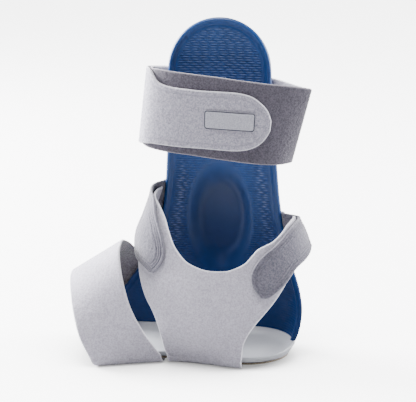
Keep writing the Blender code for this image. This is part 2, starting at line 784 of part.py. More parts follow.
def forefoot_loop(column):
    """One edge of the forefoot loop: over the instep, round the outer bend, under the sole
    and round the inner bend. The column is 1 at the rear edge and 2 at the front edge."""
    rear = column == 1
    tall = FOREFOOT_HEIGHT if rear else FOREFOOT_FRONT
    bend_share = BAND_BEND / tall
    low_inner, low_outer = (row[column - 1] for row in FOREFOOT_FOOT)
    first = forefoot_edge(low_inner, bend_share, tall, column)
    last = forefoot_edge(low_outer, bend_share, tall, column)
    upper = [first]
    for row in FOREFOOT:
        side, share = row[:2] if rear else row[2:]
        upper.append(forefoot_edge(side, share, tall, column))
    upper.append(last)
    loop = [pass_through(upper, step / 2) for step in range(2 * len(upper) - 1)]
    under = -FOREFOOT_LENGTH * FOREFOOT_EDGES[0][column]
    for point, side in ((last, -1), (first, 1)):
        steps = (1, 2, 3) if side < 0 else (3, 2, 1)
        bend = []
        for step in steps:
            turn = math.pi / 2 * step / 3
            along = point.x + (under - point.x) * step / 3
            bend.append(Vector((along, point.y + side * BAND_BEND * (1 - math.cos(turn)),
                                BAND_BEND * (1 - math.sin(turn)))))
        if side < 0:
            loop += bend
            near = bend[-1]
            far = Vector((under, first.y + BAND_BEND, 0.0))
            loop += [near.lerp(far, 0.33), near.lerp(far, 0.67)]
        else:
            loop += bend
    return loop


def make_forefoot_band(material):
    """Loop under the sole and over the instep."""
    rows = []
    for rear, front in zip(forefoot_loop(1), forefoot_loop(2)):
        rows.append([rear.lerp(front, column / ACROSS) for column in range(ACROSS + 1)])
    return strap("forefoot_band", rows, FELT, material, closed=True, inwards=-1.0)


def calf_lines():
    """Upper and lower edge of the calf band's outer face."""
    lower = []
    upper = []
    for upper_along, lower_along, side, lift, wide in CALF:
        y = CALF_FAR - CALF_DEPTH * side
        middle = CALF_HEIGHT + CALF_WIDTH * lift
        half = CALF_WIDTH * wide / 2
        lower.append(Vector((CALF_LOOP * lower_along, y, middle - half)))
        upper.append(Vector((CALF_LOOP * upper_along, y, middle + half)))
    return lower, upper


def calf_place(along, up, out):
    """Point over the calf band's outer face, by rows of its table and share of its width."""
    lower, upper = calf_lines()
    step = 0.05
    here = [pass_through(line, along, closed=True) for line in (lower, upper)]
    ahead = [pass_through(line, along + step, closed=True) for line in (lower, upper)]
    back = [pass_through(line, along - step, closed=True) for line in (lower, upper)]
    point = here[0].lerp(here[1], up)
    travel = ahead[0].lerp(ahead[1], up) - back[0].lerp(back[1], up)
    normal = travel.cross(here[1] - here[0]).normalized()
    return point + normal * out


def make_calf_band(material):
    """Loop round the blade."""
    rows = []
    for index in range(2 * len(CALF)):
        rows.append([calf_place(index / 2, column / ACROSS, 0.0) for column in range(ACROSS + 1)])
    return strap("calf_band", rows, FELT, material, closed=True, inwards=-1.0)


def make_calf_flap(material):
    """Flap round the left fold and over the near side of the calf band."""
    first, last = FLAP[0][0], FLAP[-1][0]
    steps = 26
    outer = []
    inner = []
    for step in range(steps + 1):
        along = first + (last - first) * step / steps
        low, high = read(FLAP, along, 1), read(FLAP, along, 2)
        ups = [low + (high - low) * column / ACROSS for column in range(ACROSS + 1)]
        outer.append([calf_place(along, up, CLEARANCE + FELT) for up in ups])
        inner.append([calf_place(along, up, CLEARANCE) for up in ups])
    return thick_grid("calf_flap", outer, inner, material)


def make_label(material):
    """Blank patch on the flap."""
    base = 2 * CLEARANCE + FELT
    row_length = (calf_place(LABEL_ALONG + 0.5, LABEL_UP, base)
                  - calf_place(LABEL_ALONG - 0.5, LABEL_UP, base)).length
    half_rows = LABEL_LENGTH / row_length / 2
    half_up = LABEL_WIDTH / CALF_WIDTH / 2
    corner = 0.16
    outer = []
    inner = []
    for share in (-1.0, -1 + corner / 4, -1 + corner, -0.4, 0.0, 0.4, 1 - corner,
                  1 - corner / 4, 1.0):
        squeeze = 1.0
        if abs(share) > 1 - corner:
            into = (abs(share) - (1 - corner)) / corner
            squeeze = 1 - 0.36 * (1 - math.sqrt(max(0.0, 1 - into * into)))
        along = LABEL_ALONG + share * half_rows
        middle = LABEL_UP + share * LABEL_TILT / CALF_WIDTH
        ups = [middle + half_up * squeeze * side for side in (-1.0, 0.0, 1.0)]
        outer.append([calf_place(along, up, base + LABEL_THICKNESS) for up in ups])
        inner.append([calf_place(along, up, base) for up in ups])
    return thick_grid("label", outer, inner, material)


def main():
    """Build the brace in an empty scene."""
    for old in list(bpy.data.objects):
        bpy.data.objects.remove(old, do_unlink=True)
    blue = make_material("moulded_blue", (0.02, 0.10, 0.32), 0.35)
    bed_grey = make_material("moulded_grey", (0.42, 0.43, 0.47), 0.5)
    tan = make_material("sole_tan", (0.30, 0.24, 0.16), 0.8)
    light_felt = make_material("light_felt", (0.58, 0.58, 0.62), 0.95)
    band_felt = make_material("band_felt", (0.20, 0.18, 0.21), 0.95)
    tab_felt = make_material("tab_felt", (0.28, 0.28, 0.32), 0.95)
    patch = make_material("label_grey", (0.50, 0.52, 0.55), 0.8)
    make_shell(blue)
    make_footbed(bed_grey)
    make_sole_pad(tan)
    make_sling(light_felt)
    make_tab("front_tab", FRONT_TAB, -1, tab_felt)
    make_tab("rear_tab", REAR_TAB, 1, tab_felt)
    make_forefoot_band(light_felt)
    make_calf_band(band_felt)
    make_calf_flap(light_felt)
    make_label(patch)


main()
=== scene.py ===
"""Ankle immobilizer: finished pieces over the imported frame, their materials, light and camera."""
import math

import bpy
import numpy as np
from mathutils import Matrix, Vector, noise
from mathutils.kdtree import KDTree


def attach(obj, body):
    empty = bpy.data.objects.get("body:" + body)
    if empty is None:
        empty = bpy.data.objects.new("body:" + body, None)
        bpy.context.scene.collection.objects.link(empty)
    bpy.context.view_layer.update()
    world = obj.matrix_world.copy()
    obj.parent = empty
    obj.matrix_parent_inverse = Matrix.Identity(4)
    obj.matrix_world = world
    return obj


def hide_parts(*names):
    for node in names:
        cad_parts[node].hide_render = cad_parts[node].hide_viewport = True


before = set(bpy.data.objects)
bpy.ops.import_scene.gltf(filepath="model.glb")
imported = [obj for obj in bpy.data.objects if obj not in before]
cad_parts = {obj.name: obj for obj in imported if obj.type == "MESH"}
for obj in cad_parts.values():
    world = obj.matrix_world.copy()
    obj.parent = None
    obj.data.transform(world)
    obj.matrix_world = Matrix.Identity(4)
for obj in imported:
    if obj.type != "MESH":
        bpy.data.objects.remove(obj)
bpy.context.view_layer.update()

# Driving dimensions
HEIGHT = 0.2455          # floor to the top of the blade
BLADE_WIDTH = 0.075      # across the round top of the blade
BLADE_SIDE = 0.030       # middle of the leg space to the blade's inner face
BLADE_BOW = 0.003        # how far the blade's edges curl in towards the leg
FOOT_SIDE = 0.0355       # the same distance to the wall beside the foot
HEEL_RADIUS = 0.031      # inner radius of the wall round the heel
HEEL_CENTRE = 0.0253     # middle of the heel's round, behind the blade's middle
TOE_REACH = 0.092        # blade's middle to the front end of the footbed
WALL = 0.003             # shell wall
RIM_WIDTH = 0.005        # smooth raised rim along the shell's edge
RIM_RISE = 0.0013        # rise of that rim above the inner face
HEEL_BULGE = 0.0052      # how far the heel wall swells back above its foot

HOLLOW_WIDTH = 0.050     # oval hollow for the ankle bone
HOLLOW_LENGTH = 0.088
HOLLOW_HEIGHT = 0.096    # floor to the middle of the hollow
HOLLOW_DEPTH = 0.009

FELT = 0.0022            # thickness of the felt straps
LEAF = 0.0020            # thickness of the closure tabs
CLEARANCE = 0.0003       # gap between pieces that touch
PAD = 0.0015             # tan layer under the footbed
BED = 0.0024             # footbed floor
BED_RIM = 0.0053         # rim that carries the shell, above the footbed's floor
BED_LIP = 0.0023         # low lip on the inner side, above the footbed's floor
UNDERCUT = 0.004         # how far the footbed's foot lies inside its rim
HEEL_UNDERCUT = 0.006    # the same at the back of the heel
FOOT_WIDTH = 0.078       # footbed across the ball of the foot

LEG_LENGTH = 0.123       # leg space, toes to heel, between the arms of the sling
LEG_WIDTH = 0.060        # leg space across, at the ankle
ARM_BEND = 0.007         # radius where the sling turns under the sole
BAND_BEND = 0.0065       # radius where the forefoot band turns under the sole
CALF_HEIGHT = 0.733 * HEIGHT   # floor to the middle of the calf band
CALF_WIDTH = 0.056       # width of the calf band
CALF_LOOP = 0.122        # calf band from fold to fold
CALF_DEPTH = 0.039       # calf band from its near layer to its far layer
FOREFOOT_HEIGHT = 0.088  # forefoot loop at its rear edge
FOREFOOT_LENGTH = 0.108  # blade's middle to the front edge of the forefoot loop
ROOT_LENGTH = 0.012      # stretch of each tab that lies on the shell's outer face
LABEL_LENGTH = 0.037
LABEL_WIDTH = 0.0130
LABEL_THICKNESS = 0.0008
LABEL_TILT = 0.0012      # how far each end of the label turns off the band's own slope

# Heights that follow
PAD_BOTTOM = FELT + CLEARANCE
BED_BOTTOM = PAD_BOTTOM + PAD + CLEARANCE
BED_FLOOR = BED_BOTTOM + BED
RIM_TOP = BED_FLOOR + BED_RIM
LIP_TOP = BED_FLOOR + BED_LIP
SHELL_BOTTOM = RIM_TOP + CLEARANCE
CAP_HEIGHT = HEIGHT - BLADE_WIDTH / 2
HEEL_SIDE = FOOT_SIDE - HEEL_RADIUS
OUTER_RADIUS = HEEL_RADIUS + WALL

# Shell outline, bottom to top. height: share of HEIGHT. toe: front edge, from 0 at half the
# blade's width to 1 at the toe reach. heel: rear edge, share of BLADE_WIDTH, measured along
# the wall. foot: 1 where the wall follows the foot, 0 where it follows the leg. bulge: share
# of HEEL_BULGE.
SHELL = (
    # height, toe, heel, foot, bulge
    (0.045, 0.960, 0.990, 1.00, 0.00),
    (0.082, 0.900, 0.980, 1.00, 0.60),
    (0.134, 0.752, 0.930, 1.00, 1.00),
    (0.184, 0.593, 0.855, 0.98, 1.00),
    (0.232, 0.443, 0.777, 0.88, 0.80),
    (0.281, 0.290, 0.703, 0.70, 0.45),
    (0.342, 0.174, 0.660, 0.45, 0.20),
    (0.407, 0.107, 0.620, 0.22, 0.00),
    (0.473, 0.058, 0.590, 0.06, 0.00),
    (0.550, 0.033, 0.568, 0.00, 0.00),
    (0.672, 0.012, 0.535, 0.00, 0.00),
    (0.800, 0.002, 0.508, 0.00, 0.00),
    (0.860, 0.000, 0.500, 0.00, 0.00),
)

# Footbed outline along the foot. place: share of TOE_REACH in front of the blade's middle,
# and share of HEEL_CENTRE behind it. inner, outer: shares of FOOT_WIDTH and of the outer wall.
SOLE = (
    # place, inner, outer
    (-1.000, 0.120, 0.56),
    (-0.980, 0.250, 0.78),
    (-0.940, 0.365, 0.93),
    (-0.880, 0.435, 1.00),
    (-0.800, 0.450, 1.00),
    (-0.690, 0.400, 1.00),
    (-0.590, 0.345, 1.00),
    (-0.460, 0.315, 1.00),
    (-0.330, 0.280, 1.00),
    (-0.180, 0.285, 1.00),
    (-0.040, 0.315, 1.00),
    (0.450, 0.350, 1.00),
    (1.000, 0.378, 1.00),
)

# Space for the leg and heel that the sling and the tabs lie on. height: share of HEIGHT.
# centre and length: shares of LEG_LENGTH. side and width: shares of LEG_WIDTH.
LEG = (
    # height, centre, length, side, width
    (0.000, 0.016, 0.440, 0.070, 0.640),
    (0.049, 0.016, 0.450, 0.067, 0.640),
    (0.143, 0.041, 0.470, 0.067, 0.640),
    (0.224, 0.055, 0.490, 0.083, 0.600),
    (0.305, 0.049, 0.492, 0.117, 0.550),
    (0.367, 0.032, 0.471, 0.133, 0.510),
    (0.428, 0.028, 0.419, 0.150, 0.490),
    (0.489, 0.020, 0.371, 0.167, 0.470),
    (0.550, 0.010, 0.345, 0.183, 0.460),
)
LEG_SQUARE = 2.4         # above 2 the leg space is a squarer oval

# Sling, from the end of its front arm round the low middle to the end of its rear arm. The
# upper edge is the round cut-out, the lower edge the outer outline. turn: degrees round the
# leg, 0 on the inner side, -90 at the toes, 90 at the heel. height: share of HEIGHT.
SLING_FRONT = (
    # upper turn, upper height, lower turn, lower height
    (-110.0, 0.494, -104.0, 0.390),
    (-92.0, 0.491, -95.0, 0.350),
    (-74.0, 0.484, -88.0, 0.318),
    (-60.0, 0.474, -83.0, 0.285),
    (-49.5, 0.458, -76.0, 0.250),
    (-40.2, 0.433, -61.0, 0.199),
    (-30.4, 0.388, -47.5, 0.157),
    (-23.6, 0.347, -38.0, 0.101),
)
SLING_MIDDLE = (
    # upper turn, upper height, lower turn
    (-16.8, 0.316, -31.0),
    (-8.5, 0.299, -22.0),
    (-4.0, 0.294, -13.0),
    (0.0, 0.293, -3.5),
    (4.0, 0.295, 5.5),
    (7.1, 0.300, 12.8),
    (11.0, 0.308, 18.9),
)
SLING_REAR = (
    # upper turn, upper height, lower turn, lower height
    (15.3, 0.319, 19.4, 0.085),
    (20.5, 0.339, 24.2, 0.135),
    (26.5, 0.358, 35.4, 0.196),
    (38.9, 0.375, 45.6, 0.250),
    (52.3, 0.398, 54.0, 0.285),
    (66.0, 0.418, 66.0, 0.312),
    (80.0, 0.426, 80.0, 0.335),
    (96.0, 0.426, 94.0, 0.345),
)

# Tabs, from beside the shell's edge to the round tip. The same columns, with out: how far
# the leaf stands off the arm below it, share of LEAF.
FRONT_TAB = (
    # upper turn, upper height, lower turn, lower height, out
    (-106.0, 0.508, -112.0, 0.385, 0.3),
    (-92.0, 0.507, -104.0, 0.360, 0.4),
    (-76.0, 0.502, -95.0, 0.333, 0.3),
    (-60.4, 0.485, -83.0, 0.312, 0.1),
    (-50.0, 0.446, -70.0, 0.299, 0.0),
    (-39.4, 0.407, -60.0, 0.291, 0.0),
    (-32.5, 0.369, -53.5, 0.284, 0.0),
    (-31.3, 0.335, -49.5, 0.277, 0.0),
    (-34.3, 0.306, -47.0, 0.274, 0.0),
    (-38.5, 0.288, -43.0, 0.275, 0.0),
)
REAR_TAB = (
    # upper turn, upper height, lower turn, lower height, out
    (106.0, 0.420, 106.0, 0.328, 0.1),
    (96.0, 0.423, 94.0, 0.330, 0.2),
    (86.0, 0.424, 81.0, 0.326, 0.3),
    (72.0, 0.419, 68.0, 0.314, 0.2),
    (59.1, 0.406, 55.0, 0.297, 0.2),
    (41.0, 0.371, 43.5, 0.257, 0.1),
    (27.0, 0.339, 34.0, 0.228, 0.0),
    (19.3, 0.305, 28.5, 0.219, 0.0),
    (17.4, 0.276, 25.0, 0.221, 0.0),
    (18.6, 0.252, 22.0, 0.232, 0.0),
)

# Forefoot loop, from under the sole up the inner side, over the instep and down outside the
# shell's wall. side: share of FOREFOOT_SIDE, out from the middle. height: share of the
# loop's height at that edge.
FOREFOOT_SIDE = FOOT_SIDE + WALL + CLEARANCE + FELT + 0.0005
FOREFOOT = (
    # rear side, rear height, front side, front height
    (-0.74, 0.28, -1.02, 0.38),
    (-0.78, 0.50, -0.80, 0.62),
    (-0.71, 0.74, -0.48, 0.83),
    (-0.50, 0.92, -0.12, 0.955),
    (-0.16, 0.985, 0.22, 0.98),
    (0.20, 0.945, 0.54, 0.91),
    (0.58, 0.865, 0.80, 0.75),
    (0.89, 0.745, 0.97, 0.52),
    (1.00, 0.560, 1.00, 0.34),
)
FOREFOOT_FOOT = (
    # rear side, front side, where the loop turns under the sole
    (-0.615, -1.01),
    (1.00, 1.00),
)
# Where the loop's two edges lie along the foot. height: share of the loop's height. rear,
# front: shares of FOREFOOT_LENGTH.
FOREFOOT_EDGES = (
    # height, rear, front
    (0.00, 0.313, 0.745),
    (0.08, 0.327, 0.768),
    (0.24, 0.411, 0.812),
    (0.47, 0.510, 0.868),
    (0.70, 0.570, 0.925),
    (0.88, 0.608, 0.965),
    (1.00, 0.622, 1.000),
)
FOREFOOT_FRONT = 0.060   # height of the loop at its front edge

# Calf band round the blade, seen from above, from the far left round the near side to the
# sharp right fold and back. upper, lower: places along the band, shares of CALF_LOOP from
# the blade's middle. side: share of CALF_DEPTH, from the far layer. lift: height of the
# band's middle above CALF_HEIGHT, share of CALF_WIDTH. wide: share of CALF_WIDTH.
CALF = (
    # upper, lower, side, lift, wide
    (-0.250, -0.255, 0.000, 0.010, 1.00),
    (-0.345, -0.360, 0.070, 0.022, 1.00),
    (-0.397, -0.428, 0.230, 0.034, 1.00),
    (-0.405, -0.452, 0.430, 0.050, 1.00),
    (-0.390, -0.446, 0.630, 0.052, 1.00),
    (-0.342, -0.396, 0.800, 0.038, 1.03),
    (-0.250, -0.286, 0.920, 0.012, 1.045),
    (-0.120, -0.130, 0.990, -0.015, 1.05),
    (0.020, 0.010, 1.010, -0.048, 1.055),
    (0.170, 0.150, 0.990, -0.088, 1.05),
    (0.320, 0.280, 0.920, -0.125, 1.04),
    (0.450, 0.375, 0.800, -0.150, 1.02),
    (0.545, 0.430, 0.640, -0.170, 0.98),
    (0.562, 0.448, 0.540, -0.178, 0.96),
    (0.543, 0.436, 0.430, -0.180, 0.96),
    (0.455, 0.386, 0.190, -0.165, 0.97),
    (0.340, 0.310, 0.020, -0.115, 0.98),
    (0.200, 0.190, 0.000, -0.080, 1.00),
    (0.000, 0.000, 0.000, -0.040, 1.00),
    (-0.140, -0.140, 0.000, -0.012, 1.00),
)
CALF_FAR = BLADE_SIDE + WALL + CLEARANCE + FELT   # outside of the band's far layer

# Flap over the calf band. along: place in the calf table, in rows. low, high: shares of the
# band's width.
FLAP = (
    # along, low, high
    (0.60, 0.000, 1.000),
    (2.00, 0.000, 1.000),
    (3.40, 0.005, 1.000),
    (4.10, 0.015, 0.995),
    (4.60, 0.040, 0.960),
    (4.95, 0.058, 0.905),
    (5.30, 0.074, 0.850),
    (5.98, 0.088, 0.817),
    (6.70, 0.095, 0.815),
    (7.45, 0.112, 0.820),
    (8.20, 0.125, 0.838),
    (8.88, 0.142, 0.850),
    (9.39, 0.180, 0.826),
    (9.80, 0.250, 0.750),
    (10.08, 0.340, 0.665),
    (10.25, 0.440, 0.560),
)
LABEL_ALONG = 8.55       # middle of the label, in rows of the calf table
LABEL_UP = 0.50          # and up the band, share of its width

FLAP_WELD = 0.0040       # how far in from the flap's edge its pressed line runs, with painted shade along it
TAB_SHADE_LINE = 0.0034        # how far in from a tab's edge a darker line of painted shade runs
EDGE_ROUND = 0.0011      # how far in from a cut edge the felt is rounded
NEAR_EDGE = np.array((0.0, 0.06, 0.2, 0.45, 0.75, 1.1)) * 0.001
ARC_STEPS = 61           # steps round the top of the blade, and round the heel
RIPPLE_PITCH = 0.0018    # ripples of the shell, from row to row
RIPPLE_LENGTH = 0.0064
RIPPLE_DEPTH = 0.00052

# Lines pressed into the felt along its edge: distance from the edge, depth, half width
TAB_LINES = tuple((place, 0.00042, 0.00042) for place in (0.0026, 0.0044, 0.0062))
FLAP_LINES = ((FLAP_WELD, 0.00035, 0.0006), (1.5 * FLAP_WELD, 0.00012, 0.0005))
LABEL_LINES = ((0.0007, 0.00035, 0.00035),)

LIGHTS = (
    # name, place, size, power, colour
    ("top", (-0.2, -0.30, 1.5), 0.5, 30.0, (1.0, 1.0, 0.99)),
    ("front", (-0.22, -0.95, 1.15), 0.28, 3.8, (1.0, 1.0, 1.0)),
    ("left", (-1.45, 0.48, 0.7), 0.8, 260.0, (1.0, 1.0, 1.0)),
    ("right", (1.45, 0.50, 0.6), 0.8, 80.0, (0.99, 0.99, 1.0)),
)


def smooth(share):
    """Ease from 0 to 1."""
    share = np.clip(share, 0.0, 1.0)
    return share * share * (3 - 2 * share)


def ridge(value, middle, width):
    """1 at the middle value, falling off on both sides of it."""
    return np.exp(-((value - middle) / width) ** 2)


def rounding(distance, radius):
    """Rise of a rounded edge at a distance in from it, from 0 to 1."""
    return np.sqrt(1 - (1 - np.clip(distance / radius, 0.0, 1.0)) ** 2)


def hermite(low, high, low_slope, high_slope, share):
    """Cubic between two values with the given slopes."""
    square = share * share
    cube = square * share
    start = (2 * cube - 3 * square + 1) * low + (cube - 2 * square + share) * low_slope
    return start + (3 * square - 2 * cube) * high + (cube - square) * high_slope


def read(table, place, column):
    """Smooth values of a column of a table at places in its first column."""
    table = np.array(table)
    keys, values = table[:, 0], table[:, column]
    last = len(keys) - 1
    index = np.clip(np.searchsorted(keys, place) - 1, 0, last - 1)
    span = keys[index + 1] - keys[index]
    share = np.clip((place - keys[index]) / span, 0.0, 1.0)

    def slope(middle):
        before, after = np.maximum(middle - 1, 0), np.minimum(middle + 1, last)
        return (values[after] - values[before]) / (keys[after] - keys[before]) * span

    return hermite(values[index], values[index + 1], slope(index), slope(index + 1), share)


def pass_through(points, place, closed=False):
    """Points on a smooth curve through rows of values, at places counted in rows."""
    points = np.asarray(points, float)
    place = np.asarray(place, float)
    count = len(points)
    index = np.floor(place).astype(int)
    if not closed:
        index = np.clip(index, 0, count - 2)
    share = (place - index).reshape(place.shape + (1,) * (points.ndim - 1))

    def at(number):
        return points[number % count] if closed else points[np.clip(number, 0, count - 1)]

    low, high = at(index), at(index + 1)
    return hermite(low, high, (high - at(index - 1)) / 2, (at(index + 2) - low) / 2, share)


def spread(length, step):
    """Shares of a length in even steps, with close ones beside both ends."""
    near = NEAR_EDGE / length
    even = np.linspace(0.0, 1.0, max(3, int(length / step)))
    room = near[-1] + 0.35 * step / length
    inside = even[(even > room) & (even < 1 - room)]
    return np.concatenate((near, inside, 1 - near[::-1]))


def quads_of(numbers, closed=False):
    """Corner numbers of the faces of a grid of vertex numbers."""
    if closed:
        numbers = np.vstack((numbers, numbers[:1]))
    corners = (numbers[:-1, :-1], numbers[1:, :-1], numbers[1:, 1:], numbers[:-1, 1:])
    return np.stack(corners, -1).reshape(-1, 4)


def grid_numbers(rows, columns, start=0):
    """Vertex numbers of a grid."""
    return np.arange(start, start + rows * columns).reshape(rows, columns)


def around_end(out, arc, back):
    """Values along one edge, round the arc at its end, and back along the other edge."""
    return np.concatenate((out, arc + np.zeros(ARC_STEPS - 1), back[::-1]))


def add_object(name, data):
    """New object in the scene."""
    added = bpy.data.objects.new(name, data)
    bpy.context.scene.collection.objects.link(added)
    return added


def make_object(name, points, faces, materials, indices=None, fields=None):
    """Smooth mesh object with its materials and its named values at each point."""
    mesh = bpy.data.meshes.new(name)
    mesh.from_pydata(np.asarray(points).tolist(), [], [list(dict.fromkeys(face)) for face in faces])
    for material in materials:
        mesh.materials.append(material)
    if indices is not None:
        mesh.polygons.foreach_set("material_index", np.asarray(indices, dtype=np.int32))
    mesh.shade_smooth()
    for field, values in (fields or {}).items():
        layer = mesh.attributes.new(field, "FLOAT", "POINT")
        layer.data.foreach_set("value", np.asarray(values, dtype=np.float32))
    return add_object(name, mesh)


def edge_distance(points, border):
    """Distance from each point to the nearest border edge."""
    starts, ends = points[border[:, 0]], points[border[:, 1]]
    samples = np.concatenate([starts + (ends - starts) * share
                              for share in np.linspace(0.0, 1.0, 9)[:-1]])
    tree = KDTree(len(samples))
    for number, sample in enumerate(samples):
        tree.insert(sample, number)
    tree.balance()
    return np.array([tree.find(point)[2] for point in points])


def waves(points, pitch, seed):
    """Soft noise from -1 to 1 at the points, with waves of about the pitch."""
    shift = Vector((seed * 7.31, seed * 3.17, seed * 5.77))
    return np.array([noise.noise(Vector(point) / pitch + shift) for point in points])


def felt(name, points, quads, thickness, materials, flip=False, lines=(), seed=1):
    """Soft sheet with its outer face at the points, a parallel inner face, a rounded edge,
    and lines pressed into the outer face alongside that edge."""
    first, second, third, fourth = (points[quads[:, corner]] for corner in range(4))
    facing = np.cross(third - first, fourth - second)
    normals = np.zeros_like(points)
    for corner in range(4):
        np.add.at(normals, quads[:, corner], facing)
    normals /= np.linalg.norm(normals, axis=1, keepdims=True)
    if flip:
        normals = -normals
        quads = quads[:, ::-1]
    sides = np.stack((quads, np.roll(quads, -1, 1)), -1).reshape(-1, 2)
    sides, uses = np.unique(np.sort(sides, 1), axis=0, return_counts=True)
    border = sides[uses == 1]
    distance = edge_distance(points, border)
    rounded = rounding(distance, EDGE_ROUND)
    middle = points - normals * thickness / 2
    nap = 0.00007 * waves(points, 0.0016, seed)
    top = thickness / 2 * rounded + nap - thickness * 0.02
    for place, depth, width in lines:
        top -= depth * ridge(distance, place, width)
    outer = middle + normals * top[:, None]
    inner = middle - normals * (thickness / 2 * rounded - nap)[:, None]
    on_border = np.zeros(len(points), bool)
    on_border[border.ravel()] = True
    outer[on_border] = middle[on_border]
    inner_number = np.arange(len(points))
    inner_number[~on_border] = len(points) + np.arange(np.count_nonzero(~on_border))
    every_point = np.vstack((outer, inner[~on_border]))
    faces = np.vstack((quads, inner_number[quads][:, ::-1]))
    indices = np.repeat((0, len(materials) - 1), len(quads))
    fields = {"rim": np.concatenate((distance, distance[~on_border]))}
    return make_object(name, every_point, faces.tolist(), materials, indices, fields)


def felt_grid(name, grid, thickness, materials, closed=False, **more):
    """Soft sheet over a grid of points."""
    quads = quads_of(grid_numbers(*grid.shape[:2]), closed)
    return felt(name, grid.reshape(-1, 3), quads, thickness, materials, **more)


def shell_place(along, height, out):
    """Points of the shell, by distance along the wall, height and distance out."""
    share = np.minimum(height, CAP_HEIGHT) / HEIGHT
    foot = read(SHELL, share, 3)
    swell = HEEL_BULGE * read(SHELL, share, 4)
    turn = np.maximum(0.0, along - HEEL_CENTRE) / HEEL_RADIUS
    sine, cosine = np.sin(turn), np.cos(turn)
    foot_x = np.minimum(along, HEEL_CENTRE) + HEEL_RADIUS * sine + swell * sine ** 2
    foot_y = HEEL_SIDE + HEEL_RADIUS * cosine
    reach = np.minimum(1.3, np.abs(along) / (BLADE_WIDTH / 2))
    blade_y = BLADE_SIDE - BLADE_BOW * reach * reach
    lean = 2 * BLADE_BOW * along / (BLADE_WIDTH / 2) ** 2
    norm = np.hypot(lean, 1.0)
    normal_x = sine * foot + lean / norm * (1 - foot)
    normal_y = cosine * foot + 1 / norm * (1 - foot)
    norm = np.hypot(normal_x, normal_y)
    x = foot_x * foot + along * (1 - foot) + normal_x / norm * out
    y = foot_y * foot + blade_y * (1 - foot) + normal_y / norm * out
    return np.stack((x, y, height + 0 * x), -1)


def hollow_reach(along, height):
    """Distance from the middle of the hollow, as a share of its size."""
    return np.hypot(along / (HOLLOW_WIDTH / 2), (height - HOLLOW_HEIGHT) / (HOLLOW_LENGTH / 2))


def shell_edges(height):
    """Front and rear edge of the shell at a height, measured along the wall."""
    share = height / HEIGHT
    front = BLADE_WIDTH / 2 + (TOE_REACH - BLADE_WIDTH / 2) * read(SHELL, share, 1)
    return -front, BLADE_WIDTH * read(SHELL, share, 2)


def rounded_sheet(name, top, bottom, materials, fields=None):
    """Solid between two sheets of rays that run from the outline in to a spine. The fields
    are values on the bottom sheet, and 0 on the top one."""
    count, stations = top.shape[:2]
    rings = stations - 1
    half = (count - ARC_STEPS + 1) // 2
    order = np.arange(count)
    spine_row = np.minimum(np.minimum(order, count - 1 - order), half - 1)
    points, numbers, shift = [], [], 0
    values = {field: [] for field in fields or {}}
    for side, sheet in enumerate((top, bottom)):
        ring_numbers = grid_numbers(count, rings, shift)
        spine_numbers = shift + count * rings + spine_row
        numbers.append(np.column_stack((ring_numbers, spine_numbers)))
        points += [sheet[:, :rings].reshape(-1, 3), sheet[:half, rings]]
        for field in values:
            sheet_values = fields[field] * side
            values[field] += [sheet_values[:, :rings].ravel(), sheet_values[:half, rings]]
        shift += count * rings + half
    upper, lower = numbers
    edge = np.column_stack((upper[:, 0], lower[:, 0]))
    faces = [quads_of(upper), quads_of(lower)[:, ::-1], quads_of(edge)[:, ::-1]]
    for row, step in ((0, 1), (count - 1, -1)):
        faces.append(quads_of(np.stack((upper[row], lower[row]))[:, ::step]))
    joined = {field: np.concatenate(parts) for field, parts in values.items()}
    faces = np.vstack(faces).tolist()
    return make_object(name, np.vstack(points), faces, materials, fields=joined)


